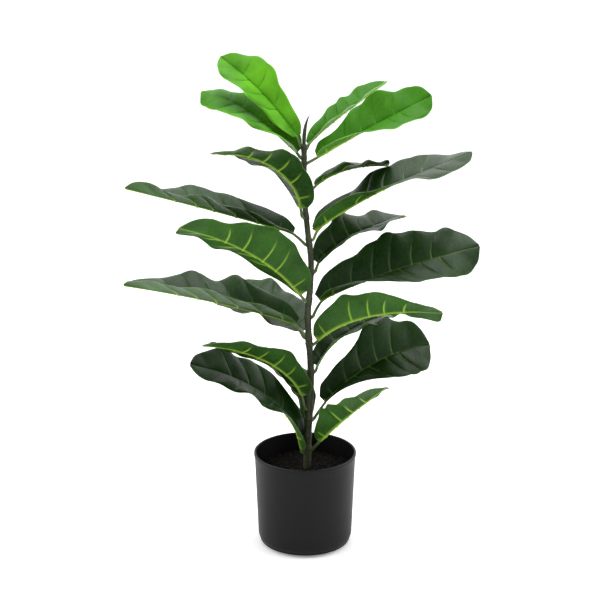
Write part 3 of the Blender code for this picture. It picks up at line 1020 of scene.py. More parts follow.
@dataclass
class Leaf:
    """One leaf: a petiole, and a blade with a midrib and side ribs raised on its under
    face, grooves over them on its upper face, and the blade domed between them."""

    habit: Habit
    number: int
    stem: "Stem"
    # The grid: columns crowd towards the midrib, and rows towards the side ribs.
    half_columns: int = 22
    plain_rows: int = 64
    crowding: float = 1.5
    last_row: float = 0.993
    rib_offsets: tuple[float, ...] = (-0.0026, -0.0016, -0.0009, 0.0, 0.0009, 0.0016, 0.0026)
    least_row_gap: float = 0.0004
    # Where the side ribs start and how far they slant and reach.
    first_rib: float = 0.035
    first_gap: float = 0.8
    last_rib: float = 0.80
    rib_stagger: float = 0.42
    rib_scatter: float = 0.12
    rib_crowding: float = 0.94
    rib_sweep: float = 1.6
    rib_slant: float = 0.85
    rib_reach: float = 0.82
    rib_fade: float = 0.4
    tip_fade: float = 0.12
    # Widths, heights and depths of ribs and grooves.
    midrib_width: float = 0.0017
    midrib_foot: float = 1.1
    midrib_narrowing: float = 0.65
    midrib_depth: float = 0.0017
    midrib_slimming: float = 0.80
    midrib_taper: float = 0.8
    midrib_colour_taper: float = 0.3
    side_rib_width: float = 0.0010
    side_rib_foot: float = 1.15
    side_rib_narrowing: float = 0.55
    side_rib_depth: float = 0.0009
    groove: float = 0.0009
    midrib_groove: float = 1.1
    relief_start: float = 0.05
    rim_thinning: float = 0.5
    rim_sharpness: int = 8
    # How the margin wanders and the blade swells and waves.
    outline_wander: float = 0.045
    outline_start: float = 0.1
    scallop: float = 0.035
    scallop_rest: float = 0.6
    dome: float = 0.0024
    dome_gain: float = 1.35
    dome_rise: float = 0.55
    dome_fall: float = 0.30
    dome_fullness: float = 0.8
    billow: float = 0.0024
    frill: float = 0.0030
    frill_start: float = 0.15
    # The petiole and the web that joins it to the blade.
    stalk_rings: int = 14
    stalk_crowding: float = 1.3
    web_rings: int = 7
    web_easing: float = 1.25
    root_into_stem: float = 0.0014
    foot_swell: float = 0.16
    foot_spread: float = 0.12
    channel_depth: float = 0.14
    channel_width: float = 0.45

    def __post_init__(self) -> None:
        """Draw this leaf's chance features and settle its rows."""
        self.rng = np.random.default_rng(SEED + self.number)
        self.spine = Spine(self.habit, self.stem)
        self.ribs = {side: self.rib_feet(side) for side in (1, -1)}
        self.outline = {side: Wander(self.rng, 5, 5.0) for side in (1, -1)}
        self.wave = {side: Wander(self.rng, 4, 3.5) for side in (1, -1)}
        self.frills = {side: Wander(self.rng, 5, 6.0) for side in (1, -1)}
        self.columns = np.linspace(0, 1, self.half_columns + 1) ** self.crowding
        self.rows = self.row_shares()

    def rib_feet(self, side: int) -> Array:
        """Where the side ribs leave the midrib, as shares of its length.

        Args:
            side: 1 for the leaf's left, -1 for its right.

        Returns:
            The shares, which on the right fall between those on the left.
        """
        count = self.habit.ribs
        stagger = 0.0 if side > 0 else self.rib_stagger
        steps = np.arange(count) / count
        steps[1:] += stagger / count
        steps[1:] += self.rng.uniform(-self.rib_scatter, self.rib_scatter, count - 1) / count
        return self.first_rib + (self.last_rib - self.first_rib) * steps**self.rib_crowding

    def row_shares(self) -> Array:
        """Rows across the blade, crowded where a side rib runs.

        Returns:
            The rows' shares of the blade's length.
        """
        length = self.habit.length
        shares = [np.linspace(0, self.last_row, self.plain_rows)]
        for feet in self.ribs.values():
            shares += [foot + np.array(self.rib_offsets) / length for foot in feet]
        every = np.unique(np.clip(np.concatenate(shares), 0, self.last_row))
        kept = [0.0]
        for share in every[1:]:
            if (share - kept[-1]) * length > self.least_row_gap:
                kept.append(float(share))
        return np.array(kept)

    def between_ribs(self, feet: Array) -> tuple[Array, Array]:
        """How far along its gap between two ribs each row lies, and how wide the gap is.

        Args:
            feet: the ribs' shares of the length.

        Returns:
            The share of the gap, and the gap's width against the usual one, at most 1.
        """
        gap = float(np.diff(feet).mean())
        before = feet[0] - gap * self.first_gap
        posts = np.concatenate([[before], feet, [feet[-1] + gap, 1 + gap]])
        at = np.clip(np.searchsorted(posts, self.rows, side="right") - 1, 0, len(posts) - 2)
        width = posts[at + 1] - posts[at]
        return (self.rows - posts[at]) / width, np.clip(width / gap, 0, 1)

    def flat_half(self, side: int, between: Array) -> tuple[Array, Array]:
        """One half of the blade laid flat, with its margin wandering and scalloped.

        Args:
            side: 1 for the left, -1 for the right.
            between: how far along its gap between two ribs each row lies.

        Returns:
            Grids of row by column: reach along the leaf, and span out from the midrib.
        """
        rows = self.rows
        ahead, out = margin(self.habit, through(RIB_ENDS, rows)[:, 0])
        wander = self.outline[side](rows) * ease(rows / self.outline_start)
        out = out * (1 + self.outline_wander * wander)
        out = out * (1 + self.scallop * (np.sin(pi * between) - self.scallop_rest))
        foot = BLADE_START + rows * (self.habit.length - BLADE_START)
        reach = foot[:, None] + (ahead - foot)[:, None] * self.columns**self.rib_sweep
        return reach, out[:, None] * self.columns

    def half(self, side: int) -> dict[str, Array]:
        """One half of the blade, from the midrib out.

        Args:
            side: 1 for the left, -1 for the right.

        Returns:
            Grids of row by column: reach along the leaf, span out from the midrib,
            points, the height of the dome, the mask of the side ribs, and how near the
            margin each point is.
        """
        leaf, rows, columns, feet = self.habit, self.rows, self.columns, self.ribs[side]
        between, gap_share = self.between_ribs(feet)
        reach, span = self.flat_half(side, between)
        share = np.clip(reach / leaf.length, 0, 1)
        lift = np.radians(leaf.fold + (leaf.open - leaf.fold) * share)
        tall = span / (leaf.width / 2)
        turns = BLADE_WAVES * share + leaf.phase + WAVE_STAGGER * (side > 0)
        height = span * np.sin(lift) + leaf.ripple * tall**2 * np.sin(2 * pi * turns)
        height += self.billow * tall * self.wave[side](share)
        frill = self.frills[side](share) * ease(rows / self.frill_start)[:, None]
        height += self.frill * tall**3 * frill
        left, upper = self.spine.sides(reach)
        flat = left * (side * span * np.cos(lift))[..., None]
        points = self.spine.at(reach) + flat + upper * height[..., None]
        pitch = np.abs(np.gradient(reach, rows, axis=0)) * self.rib_slant
        away = np.abs(rows[:, None] - feet[None, :]).min(axis=1)[:, None] * pitch
        fade = ease((self.rib_reach - columns) / self.rib_fade)
        fade = fade * ease((1 - rows) / self.tip_fade)[:, None]
        width = self.side_rib_width * (self.side_rib_foot - self.side_rib_narrowing * columns)
        swell = np.sin(pi * between)[:, None] ** self.dome_fullness * gap_share[:, None]
        bow = columns**self.dome_rise * (1 - columns) ** self.dome_fall * self.dome_gain
        return {
            "reach": reach,
            "span": side * span,
            "points": points,
            "dome": self.dome * swell * bow,
            "rib": bell(away, width) * fade,
            "rim": np.broadcast_to(columns, span.shape),
        }

    def blade(self) -> tuple[dict[str, Array], Array]:
        """The whole blade.

        Returns:
            Grids from the left margin to the right, and the blade's normals.
        """
        left, right = self.half(1), self.half(-1)
        grid = {
            key: np.concatenate([left[key][:, ::-1], right[key][:, 1:]], axis=1) for key in left
        }
        across = np.gradient(grid["points"], axis=1)
        along = np.gradient(grid["points"], axis=0)
        normal = np.cross(across, along)
        normal /= np.linalg.norm(normal, axis=-1, keepdims=True)
        return grid, normal

    def stalk_ring(self, reach: float, turn: Array) -> Array:
        """One round section of the petiole, with a shallow channel along its top.

        Args:
            reach: its distance from the blade's foot, below 0.
            turn: the angles of its points.

        Returns:
            The points.
        """
        share = min(max(-reach / self.habit.petiole, 0.0), 1.0)
        radius = PETIOLE_TOP_RADIUS + (PETIOLE_FOOT_RADIUS - PETIOLE_TOP_RADIUS) * share
        radius *= 1 + self.foot_swell * float(bell(np.array(share - 1.0), self.foot_spread))
        shape = radius * (1 - self.channel_depth * bell(turn - pi / 2, self.channel_width))
        left, upper = self.spine.sides(np.array(reach))
        centre = self.spine.at(np.array(reach))
        flat, risen = (shape * np.cos(turn))[:, None], (shape * np.sin(turn))[:, None]
        return centre + flat * left + risen * upper

    def skin(self, rings: int, sides: int, stalks: int) -> tuple[list[tuple[int, ...]], Array]:
        """Close the rings of the petiole and blade into one body.

        Args:
            rings: how many there are.
            sides: points in each.
            stalks: how many of them belong to the petiole.

        Returns:
            The faces, and the slot of each.
        """
        faces = ring_faces(rings, sides, caps=False)
        quads = len(faces)
        faces.append(tuple(range(sides))[::-1])
        last, half = (rings - 1) * sides, sides // 2
        for k in range(half - 1):
            faces.append((last + k, last + k + 1, last + sides - 2 - k, last + sides - 1 - k))
        slots = np.full(len(faces), Skin.UNDER.value)
        row, column = np.divmod(np.arange(quads), sides)
        body = np.where(column < half - 1, Skin.UPPER.value, Skin.UNDER.value)
        slots[:quads] = np.where(row < stalks + 1, Skin.STALK.value, body)
        slots[quads] = Skin.STALK.value
        return faces, slots

    def surface(self) -> Surface:
        """Skin the petiole and blade as one closed body.

        Returns:
            The surface, with its slots, blade coordinates and marks.
        """
        grid, normal = self.blade()
        rows = self.rows[:, None]
        slim = (1 - self.midrib_slimming * rows) ** self.midrib_taper
        width = self.midrib_width * (self.midrib_foot - self.midrib_narrowing * rows)
        mid = bell(np.abs(grid["span"]), width)
        start = ease(rows / self.relief_start)
        ribs = grid["rib"] * start
        thick = BLADE_THICKNESS * (1 - self.rim_thinning * grid["rim"] ** self.rim_sharpness)
        depth = self.midrib_depth * mid * slim + self.side_rib_depth * ribs
        cut = self.groove * (self.midrib_groove * mid * slim + ribs)
        raised = grid["dome"] * start
        top = grid["points"] + normal * (raised - cut)[..., None]
        under = grid["points"] + normal * (raised - thick - depth)[..., None]
        blade_rings = np.concatenate([top, under[:, ::-1]], axis=1)
        sides = blade_rings.shape[1]

        turn = (np.arange(sides) + 0.5) * 2 * pi / sides
        behind = float(margin(self.habit, 0.0)[0][0]) - BLADE_START / 2
        root = -self.habit.petiole - self.root_into_stem
        spread = np.linspace(0, 1, self.stalk_rings) ** self.stalk_crowding
        stalk = [self.stalk_ring(float(at), turn) for at in root + (behind - root) * spread]
        steps = np.linspace(0, 1, self.web_rings + 2)[1:-1]
        web = [
            stalk[-1] + (blade_rings[0] - stalk[-1]) * step**self.web_easing for step in steps
        ]
        rings = np.concatenate([np.array(stalk), np.array(web), blade_rings])
        before = len(stalk) + len(web)
        faces, slots = self.skin(len(rings), sides, len(stalk))

        def doubled(values: Array) -> Array:
            """Values of the blade's grid, for its upper face and then its under face."""
            return np.concatenate([values, values[:, ::-1]], axis=1)

        vein = doubled(np.clip(mid * slim**self.midrib_colour_taper + ribs, 0, 1))
        rim = doubled(grid["rim"])
        fade = np.concatenate([np.zeros(len(stalk)), steps])[:, None]
        marks = {
            "vein": np.concatenate([1 - fade * (1 - vein[:1]), vein]).ravel(),
            "rim": np.concatenate([fade * rim[:1], rim]).ravel(),
            "tone": np.full(len(rings) * sides, float(self.habit.tone)),
            "scar": np.zeros(len(rings) * sides),
        }
        ahead = np.repeat(np.linspace(root, behind, before)[:, None], sides, 1)
        aside = np.repeat((PETIOLE_TOP_RADIUS * np.cos(turn))[None], before, 0)
        uv = np.stack(
            [np.concatenate([ahead, doubled(grid["reach"])]).ravel(),
             np.concatenate([aside, doubled(grid["span"])]).ravel()], -1)
        return Surface(rings.reshape(-1, 3), faces, slots, uv, marks)

    def build(self, finishes: Finishes) -> list[bpy.types.Object]:
        """Make the leaf and fit it to the frame.

        Args:
            finishes: the materials.

        Returns:
            The leaf.
        """
        node = f"leaf_{self.number:02d}"
        age = self.habit.age
        dress = [finishes.upper[age], finishes.under[age], finishes.stalk]
        piece = self.surface().piece(f"{node}_grown", dress, crease=60.0)
        settle(piece, age.value, node)
        return [piece]


# ---------------------------------------------------------------- geometry nodes


# How uneven a lump is, and how far it may turn about each of its axes, in radians.
LUMP_NOISE = 0.9
LUMP_STRETCH = (0.7, 0.7, 0.7)
LUMP_TURN = (0.5, 0.5, 6.28)


def scatter_group(name: str, over: str) -> bpy.types.NodeTree:
    """A node group that strews small lumps over a surface, where a mark allows it.

    Args:
        name: the group's name.
        over: the face mark that says where lumps may lie.

    Returns:
        The group, whose inputs are the surface, how many lumps to a square metre, their
        least and greatest size, how far they are squashed, their seed and material.
    """
    group = bpy.data.node_groups.new(name, "GeometryNodeTree")
    for key, kind in (
        ("Surface", "NodeSocketGeometry"), ("Density", "NodeSocketFloat"),
        ("Least", "NodeSocketFloat"), ("Greatest", "NodeSocketFloat"),
        ("Squash", "NodeSocketFloat"), ("Seed", "NodeSocketInt"),
        ("Finish", "NodeSocketMaterial"),
    ):
        group.interface.new_socket(key, in_out="INPUT", socket_type=kind)
    group.interface.new_socket("Lumps", in_out="OUTPUT", socket_type="NodeSocketGeometry")
    tree = Tree(group)
    into = tree.add("NodeGroupInput").outputs
    allowed = tree.add("GeometryNodeInputNamedAttribute", {"Name": over}, data_type="FLOAT")
    density = tree.math("MULTIPLY", into["Density"], allowed.outputs["Attribute"])
    spread = tree.add(
        "GeometryNodeDistributePointsOnFaces",
        {"Mesh": into["Surface"], "Density": density, "Seed": into["Seed"]},
    )
    lump = tree.add("GeometryNodeMeshIcoSphere", {"Radius": 1.0, "Subdivisions": 1})
    rough = tree.add("ShaderNodeTexNoise", {"Scale": LUMP_NOISE}, noise_dimensions="4D")
    stretch = tree.add("ShaderNodeVectorMath", {0: rough.outputs["Color"], 1: LUMP_STRETCH},
                       operation="MULTIPLY")
    shaped = tree.add("GeometryNodeSetPosition", {"Geometry": lump.outputs["Mesh"],
                                                  "Offset": stretch.outputs[0]})
    size = tree.add("FunctionNodeRandomValue", {2: into["Least"], 3: into["Greatest"],
                                                "Seed": into["Seed"]}, data_type="FLOAT")
    flat = tree.math("MULTIPLY", size.outputs[1], into["Squash"])
    scale = tree.add("ShaderNodeCombineXYZ", {0: size.outputs[1], 1: size.outputs[1], 2: flat})
    spin = tree.add("FunctionNodeRandomValue", {1: LUMP_TURN, "Seed": into["Seed"]},
                    data_type="FLOAT_VECTOR")
    turned_by = tree.add("FunctionNodeRotateRotation", {0: spread.outputs["Rotation"],
                                                        1: spin.outputs[0]},
                         rotation_space="LOCAL")
    strewn = tree.add(
        "GeometryNodeInstanceOnPoints",
        {"Points": spread.outputs["Points"], "Instance": shaped.outputs[0],
         "Rotation": turned_by.outputs[0], "Scale": scale.outputs[0]},
    )
    real = tree.add("GeometryNodeRealizeInstances", {0: strewn.outputs[0]})
    dressed = tree.add("GeometryNodeSetMaterial", {"Geometry": real.outputs[0],
                                                   "Material": into["Finish"]})
    out = tree.add("NodeGroupOutput")
    group.links.new(dressed.outputs[0], out.inputs[0])
    return group


@dataclass
class Strewing:
    """Small lumps laid over a surface by a node group."""

    name: str
    over: str
    density: float
    least: float
    greatest: float
    squash: float
    finish: bpy.types.Material
    slot: str
    seed: int = SEED

    def build(self, surface: bpy.types.Object) -> bpy.types.Object:
        """Lay the lumps and turn them into a plain mesh.

        Args:
            surface: the object they lie on.

        Returns:
            The lumps' object.
        """
        group = scatter_group(self.name, self.over)
        worker = placed(self.name, surface.data.copy())
        modifier = worker.modifiers.new("strew", "NODES")
        modifier.node_group = group
        values = {"Density": self.density, "Least": self.least, "Greatest": self.greatest,
                  "Squash": self.squash, "Seed": self.seed, "Finish": self.finish}
        for item in group.interface.items_tree:
            if item.in_out == "INPUT" and item.name in values:
                modifier[item.identifier] = values[item.name]
        graph = bpy.context.evaluated_depsgraph_get()
        mesh = bpy.data.meshes.new_from_object(worker.evaluated_get(graph))
        bpy.data.objects.remove(worker)
        mesh.name = self.name
        made = placed(self.name, mesh)
        settle(made, self.slot)
        return made


# ---------------------------------------------------------------- pot, soil and stem


@dataclass
class Pot:
    """The thin-walled round pot, turned in fine steps."""

    size: Measures
    sides: int = 160
    round_steps: int = 10
    outer_steps: int = 13
    inner_steps: int = 12
    inner_start: float = 0.004
    flat_inset: float = 0.002
    # The step under the lip: how far out from the wall and up from the lip's foot it
    # starts, how far in from the lip and up it ends, and where the lip's face begins.
    step_start: tuple[float, float] = (0.0001, -0.0004)
    step_end: tuple[float, float] = (-0.0001, 0.0003)
    face_start: float = 0.0010

    def wall(self, height: float) -> float:
        """Outer radius below the lip."""
        under_lip = self.size.rim_radius - LIP_PROUD
        return BASE_RADIUS + (under_lip - BASE_RADIUS) * height / self.size.pot_height

    def profile(self) -> list[tuple[float, float]]:
        """The section, from the middle of the base out, up and back to the floor.

        Returns:
            The (radius, height) points.
        """
        top, shoulder = self.size.pot_height, self.wall(BASE_ROUND)
        outer, inner = self.size.rim_radius, self.wall(top) - POT_WALL
        lip_foot = top - LIP_HEIGHT
        quarter = [step / self.round_steps * pi / 2 for step in range(self.round_steps + 1)]
        line = [(0.0, 0.0), (shoulder - BASE_ROUND - self.flat_inset, 0.0)]
        for turn in quarter:
            line.append((shoulder - BASE_ROUND * (1 - sin(turn)), BASE_ROUND * (1 - cos(turn))))
        straight = np.linspace(BASE_ROUND, lip_foot - 2 * LIP_PROUD, self.outer_steps + 1)
        for height in straight[1:]:
            line.append((self.wall(float(height)), float(height)))
        line.append((self.wall(lip_foot) + self.step_start[0], lip_foot + self.step_start[1]))
        line.append((outer + self.step_end[0], lip_foot + self.step_end[1]))
        line.append((outer, lip_foot + self.face_start))
        for turn in quarter:
            line.append((outer - RIM_ROUND * (1 - cos(turn)), top - RIM_ROUND * (1 - sin(turn))))
        for turn in quarter[::-1]:
            line.append((inner + RIM_ROUND * (1 - cos(turn)), top - RIM_ROUND * (1 - sin(turn))))
        for height in np.linspace(top - self.inner_start, POT_FLOOR, self.inner_steps):
            line.append((self.wall(float(height)) - POT_WALL, float(height)))
        line.append((0.0, POT_FLOOR))
        return line

    def build(self, finishes: Finishes) -> list[bpy.types.Object]:
        """Make the pot and fit it to the frame.

        Args:
            finishes: the materials.

        Returns:
            The pot.
        """
        piece = turned(self.profile(), self.sides).piece("pot_turned", [finishes.pot], 35.0)
        settle(piece, "pot", "pot")
        return [piece]


@dataclass
class Soil:
    """A mound of potting mix with loose crumbs and bark chips on it."""

    size: Measures
    pot: Pot
    sides: int = 120
    rings: int = 44
    middle_share: float = 0.015
    edge_gap: float = 0.0004
    depth: float = 0.02
    # The lumps are this many waves, with this many radians to the metre.
    lumps: int = 26
    lump_turns: tuple[float, float] = (60, 420)
    lump_share: float = 5
    relief: float = 0.0012
    settled: float = 0.6
    # Crumbs keep off the stem and the pot's wall: the shares of the radius they lie in.
    crumbs_from: float = 0.11
    crumbs_to: float = 0.955

    def surface(self) -> Surface:
        """The mound's skin, closed below.

        Returns:
            The surface, with a mark that says where crumbs may lie.
        """
        rng = np.random.default_rng(SEED)
        lumps = [(rng.uniform(*self.lump_turns, 2), rng.uniform(0, 2 * pi))
                 for _ in range(self.lumps)]
        turn = np.arange(self.sides) * 2 * pi / self.sides
        edge = self.pot.wall(self.size.soil_top) - POT_WALL - self.edge_gap
        shares = np.linspace(1, self.middle_share, self.rings)[:, None]
        across, deep = edge * shares * np.cos(turn), edge * shares * np.sin(turn)
        wave = sum(
            np.sin(k[0] * across * np.cos(a) + k[1] * deep * np.sin(a + 1) + a) / self.lump_share
            for k, a in lumps
        )
        height = self.size.soil_top + SOIL_CROWN * (1 - shares**2)
        height = height + SOIL_WAVE * shares * np.sin(SOIL_WAVES * turn)
        height = height + self.relief * (wave - 1) * self.settled
        top = np.stack([across, deep, height], -1)
        under = top[:1].copy()
        under[..., 2] = self.size.soil_top - self.depth
        rings = np.concatenate([under, top])
        bare = np.zeros((len(rings), self.sides))
        bare[1:] = (shares > self.crumbs_from) & (shares < self.crumbs_to)
        faces = ring_faces(len(rings), self.sides)
        return Surface(rings.reshape(-1, 3), faces, marks={"bare": bare.ravel()})

    def build(self, finishes: Finishes) -> list[bpy.types.Object]:
        """Make the mound and its crumbs and fit them to the frame.

        Args:
            finishes: the materials.

        Returns:
            The mound, the crumbs and the bark chips.
        """
        mound = self.surface().piece("soil_mound", [finishes.soil], 75.0)
        settle(mound, "soil", "soil")
        crumbs = Strewing("soil_crumbs", "bare", density=130000.0, least=0.0005,
                          greatest=0.0018, squash=0.8, finish=finishes.crumb, slot="soil")
        chips = Strewing("bark_chips", "bare", density=9000.0, least=0.0016, greatest=0.0036,
                         squash=0.4, finish=finishes.crumb, slot="soil", seed=SEED + 1)
        return [mound, crumbs.build(mound), chips.build(mound)]


@dataclass
class Stem:
    """The slender woody stem, swollen and scarred where leaves have grown."""

    size: Measures
    leaves: Sequence[Habit] = HABITS
    sides: int = 36
    row_step: float = 0.0009
    start_share: float = -0.02
    # Ridges that run up the bark: how many waves, their turns round the stem, and how
    # fast they swing, in radians to the metre.
    ridges: int = 8
    ridge_turns: tuple[int, int] = (4, 13)
    ridge_swings: tuple[float, float] = (60, 260)
    ridge_swing: float = 0.8
    ridge: float = 0.00022
    ridge_share: float = 2.8
    # Scars of leaves long gone: the first, the last and the step, as shares of the height.
    old_scars: tuple[float, float, float] = (0.03, 0.93, 0.031)
    scar_scatter: float = 0.006
    scar_width: float = 0.0011
    scar_depth: float = 0.00022
    scar_back: float = 0.35
    scar_tone: float = 0.75
    shelf: float = 0.00035
    shelf_back: float = 0.4
    # Where lenticels may grow: off the scars, clear of the soil, and fewer higher up.
    scar_limit: float = 0.2
    clear_of_soil: float = 0.01
    thinning: float = 1.15

    def height(self) -> float:
        """How tall the stem stands above the soil."""
        return self.size.stem_top - self.size.soil_top

    def axis(self, share: Any) -> Array:
        """Centre of the stem.

        Args:
            share: shares of its height above the soil.

        Returns:
            One point for each.
        """
        lean = through(STEM_SWAY, share)
        height = self.size.soil_top + self.height() * np.atleast_1d(share)
        return np.column_stack([lean[:, 0] + self.size.stem_foot_x, lean[:, 1], height])

    def radius(self, share: Any) -> Array:
        """The stem's radius, which tapers, and swells a little at each node.

        Args:
            share: shares of its height above the soil.

        Returns:
            One radius for each.
        """
        share = np.asarray(share, float)
        plain = STEM_FOOT_RADIUS + (STEM_TOP_RADIUS - STEM_FOOT_RADIUS) * share
        nodes = np.array([leaf.node for leaf in self.leaves])
        away = np.abs(share[..., None] - nodes).min(axis=-1) * self.height() / NODE_SPREAD
        return plain + NODE_SWELL * np.exp(-(away**2))

    def scars(self, share: Array, turn: Array, rng: np.random.Generator) -> tuple[Array, Array]:
        """The scars round the bark, and the small shelves above them.

        Args:
            share: the rings' shares of the height.
            turn: the angles of the points of a ring.
            rng: where the chance comes from.

        Returns:
            How scarred each point is, 0 to 1, and how far its shelf lifts it.
        """
        now = [(leaf.node, radians(leaf.azimuth)) for leaf in self.leaves]
        heights = np.arange(*self.old_scars)
        heights = heights + rng.uniform(-self.scar_scatter, self.scar_scatter, len(heights))
        old = [(float(at), float(rng.uniform(0, 2 * pi))) for at in heights]
        scar = np.zeros((len(share), self.sides))
        lift = np.zeros((len(share), self.sides))
        for node, facing in now + old:
            away = (share - node)[:, None] * self.height()
            side = (1 + np.cos(turn - facing))[None] / 2
            shown = self.scar_back + (1 - self.scar_back) * side**2
            scar = np.maximum(scar, bell(away, self.scar_width) * shown)
            above = bell(away - self.scar_width, self.scar_width)
            lift += self.shelf * above * (self.shelf_back + side)
        return scar, lift

    def surface(self) -> Surface:
        """The bark, from just under the soil to the foot of the bud.

        Returns:
            The surface, with marks for the scars and for where lenticels may grow.
        """
        rng = np.random.default_rng(SEED + 40)
        ridges = [(int(rng.integers(*self.ridge_turns)), rng.uniform(0, 2 * pi),
                   rng.uniform(*self.ridge_swings)) for _ in range(self.ridges)]
        share = np.linspace(self.start_share, 1.0, int(self.height() / self.row_step))
        turn = np.arange(self.sides) * 2 * pi / self.sides
        centre = self.axis(np.clip(share, 0, 1))
        centre[:, 2] = self.size.soil_top + self.height() * share
        rise = (share * self.height())[:, None]
        rough = sum(
            np.sin(n * turn + a + self.ridge_swing * np.sin(f * rise + a)) for n, a, f in ridges
        )
        scar, lift = self.scars(share, turn, rng)
        radius = self.radius(np.clip(share, 0, 1))[:, None]
        radius = radius + self.ridge * rough / self.ridge_share + lift - self.scar_depth * scar
        free = (scar < self.scar_limit) & (rise > self.clear_of_soil)
        bare = np.where(free, 1.0, 0.0) * np.clip(self.thinning - share, 0, 1)[:, None]
        marks = {"scar": self.scar_tone * scar.ravel(), "bare": bare.ravel()}
        return tube(centre, radius, turn, marks)

    def build(self, finishes: Finishes) -> list[bpy.types.Object]:
        """Make the stem and its lenticels and fit them to the frame.

        Args:
            finishes: the materials.

        Returns:
            The stem and the lenticels.
        """
        bark = self.surface().piece("stem_bark", [finishes.bark], 70.0)
        settle(bark, "stem", "stem")
        lenticels = Strewing("lenticels", "bare", density=42000.0, least=0.0003,
                             greatest=0.0006, squash=0.5, finish=finishes.lenticel,
                             slot="stem", seed=SEED + 2)
        return [bark, lenticels.build(bark)]


@dataclass
class Bud:
    """The closed sheath at the stem's top, hooked over, with a seam along it."""

    stem: Stem
    sides: int = 28
    rows: int = 60
    sunk: float = 0.0006
    foot_share: float = 0.35
    drop: float = 0.08
    point: float = 0.07
    hook_power: float = 2.5
    keel: float = 0.08
    # The seam winds up the sheath: its depth, width, starting angle and turn.
    seam: float = 0.0004
    seam_width: float = 0.16
    seam_start: float = 4.2
    seam_turn: float = 1.6
    # The edge of the lowest scale: its share of the height, how it slants, its width.
    collar: float = 0.12
    collar_slant: float = 0.05
    collar_width: float = 0.02
    mark_tone: float = 0.7

    def surface(self) -> Surface:
        """The sheath's skin.

        Returns:
            The surface, with a mark for its seam and the edge of its lowest scale.
        """
        foot = self.stem.axis(1.0)[0] - np.array([0, 0, self.sunk])
        lean = radians(BUD_LEAN)
        share = np.linspace(0, 1, self.rows)
        swell = np.sin(pi * (self.foot_share + (1 - self.foot_share) * share))
        swell = np.maximum(swell, self.point)[:, None]
        out = BUD_HOOK * share**self.hook_power
        rise = BUD_LENGTH * (share - self.drop * share**4)
        centre = np.stack([out * cos(lean), out * sin(lean), rise], -1) + foot
        turn = np.arange(self.sides) * 2 * pi / self.sides
        share = share[:, None]
        past_seam = turn[None] - self.seam_start - self.seam_turn * share
        wrap = bell(np.angle(np.exp(1j * past_seam)), self.seam_width)
        keel = self.keel * np.cos(2 * (turn - lean))[None]
        radius = BUD_RADIUS * swell * (1 + keel) - self.seam * wrap * swell
        past_collar = share - self.collar - self.collar_slant * np.cos(turn)[None]
        lines = np.maximum(wrap, bell(past_collar, self.collar_width))
        return tube(centre, radius, turn, {"scar": (self.mark_tone * lines).ravel()})

    def build(self, finishes: Finishes) -> list[bpy.types.Object]:
        """Make the sheath and fit it to the frame.

        Args:
            finishes: the materials.

        Returns:
            The sheath.
        """
        piece = self.surface().piece("bud_wrapped", [finishes.bud], 60.0)
        settle(piece, "bud", "bud_sheath")
        return [piece]


# ---------------------------------------------------------------- studio


@dataclass(frozen=True)
class Lamp:
    """One large, soft, square light."""

    name: str
    place: tuple[float, float, float]
    size: float
    power: float

    def build(self, aim: Vector) -> None:
        """Hang the light.

        Args:
            aim: the point that it faces.
        """
        data = bpy.data.lights.new(self.name, "AREA")
        data.shape, data.size, data.energy = "SQUARE", self.size, self.power
        lamp = placed(self.name, data)
        lamp.location = self.place
        lamp.rotation_euler = (aim - Vector(self.place)).to_track_quat("-Z", "Y").to_euler()


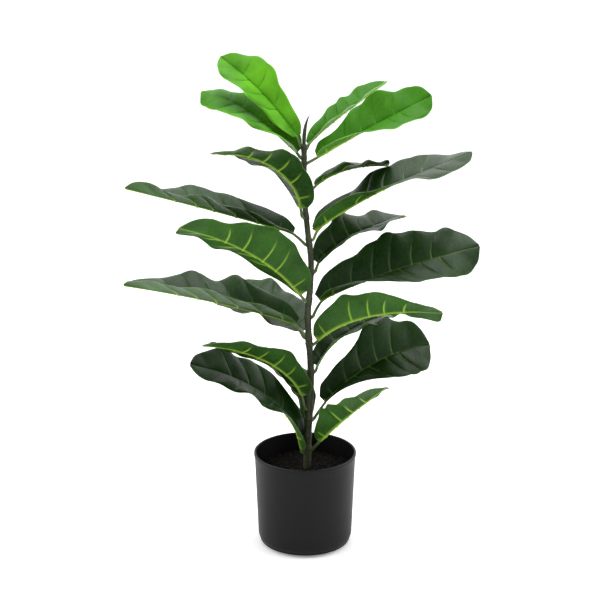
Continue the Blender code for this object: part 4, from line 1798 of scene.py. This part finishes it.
@dataclass
class Studio:
    """A plain white floor, soft lights and the camera."""

    camera_place: tuple[float, float, float] = (-0.00745, -1.8464, 0.9086)
    pitch_down: float = 16.24
    lens: float = 81.2
    sensor: float = 36.0
    farthest: float = 100.0
    floor_half: float = 30.0
    floor_drop: float = 0.0002
    floor_glow: float = 0.22
    floor_tones: tuple[Colour, Colour] = ((0.93, 0.93, 0.93), (0.95, 0.95, 0.95))
    front_glow: float = 0.40
    back_glow: float = 1.90
    aim: tuple[float, float, float] = (0, 0, 0.4)
    lamps: tuple[Lamp, ...] = (
        Lamp("overhead", (0.1, 0.2, 2.4), size=1.6, power=42.0),
        Lamp("left", (-2.2, -0.4, 1.2), size=1.4, power=14.0),
        Lamp("right", (2.2, -0.2, 1.2), size=1.4, power=14.0),
    )

    def floor(self) -> None:
        """Lay a wide floor that renders as white paper."""
        made, tree, shader = material_tree("white_paper")
        grain = tree.add("ShaderNodeTexNoise", {"Vector": tree.place(), "Scale": 90.0})
        tree.feed(shader, "Base Color", tree.blend(tree.stretch(grain), *self.floor_tones))
        tree.feed(shader, "Roughness", 0.9)
        tree.feed(shader, "Specular IOR Level", 0.1)
        tree.feed(shader, "Emission Color", (1, 1, 1, 1))
        tree.feed(shader, "Emission Strength", self.floor_glow)
        half, level = self.floor_half, -self.floor_drop
        corners = [(-half, -half, level), (half, -half, level), (half, half, level),
                   (-half, half, level)]
        Surface(np.array(corners), [(0, 1, 2, 3)]).piece("paper_floor", [made])

    def world(self) -> None:
        """Soft light all round, dimmer from the front, as between white walls."""
        world = bpy.data.worlds.new("white_room")
        world.use_nodes = True
        bpy.context.scene.world = world
        tree = Tree(world.node_tree)
        toward = tree.add("ShaderNodeTexCoord").outputs["Generated"]
        parts = tree.add("ShaderNodeSeparateXYZ", {0: toward})
        glow = tree.remap(parts.outputs["Y"], -1.0, 1.0, self.front_glow, self.back_glow)
        background = world.node_tree.nodes["Background"]
        tree.feed(background, "Color", (1, 1, 1, 1))
        tree.feed(background, "Strength", glow)

    def camera(self) -> None:
        """The camera, slightly above the plant and looking down on it."""
        data = bpy.data.cameras.new("camera")
        data.lens, data.sensor_width, data.clip_end = self.lens, self.sensor, self.farthest
        camera = placed("camera", data)
        camera.location = self.camera_place
        camera.rotation_euler = (radians(90 - self.pitch_down), 0, 0)
        bpy.context.scene.camera = camera

    def build(self) -> None:
        """Set up the whole studio."""
        self.floor()
        self.world()
        for lamp in self.lamps:
            lamp.build(Vector(self.aim))
        self.camera()
        bpy.context.scene.view_settings.view_transform = "Standard"


def main() -> None:
    """Build the plant from the pot up, then the studio."""
    logging.basicConfig(level=logging.INFO, format="%(name)s: %(message)s")
    size = Measures.from_frame()
    finishes = Finishes.make()
    pot = Pot(size)
    stem = Stem(size)
    makers: list[Maker] = [pot, Soil(size, pot), stem, Bud(stem)]
    makers += [Leaf(habit, number, stem) for number, habit in enumerate(HABITS, start=1)]
    for maker in makers:
        for piece in maker.build(finishes):
            log.info("%s: %d faces", piece.name, len(piece.data.polygons))
    Studio().build()


if __name__ == "__main__":
    main()
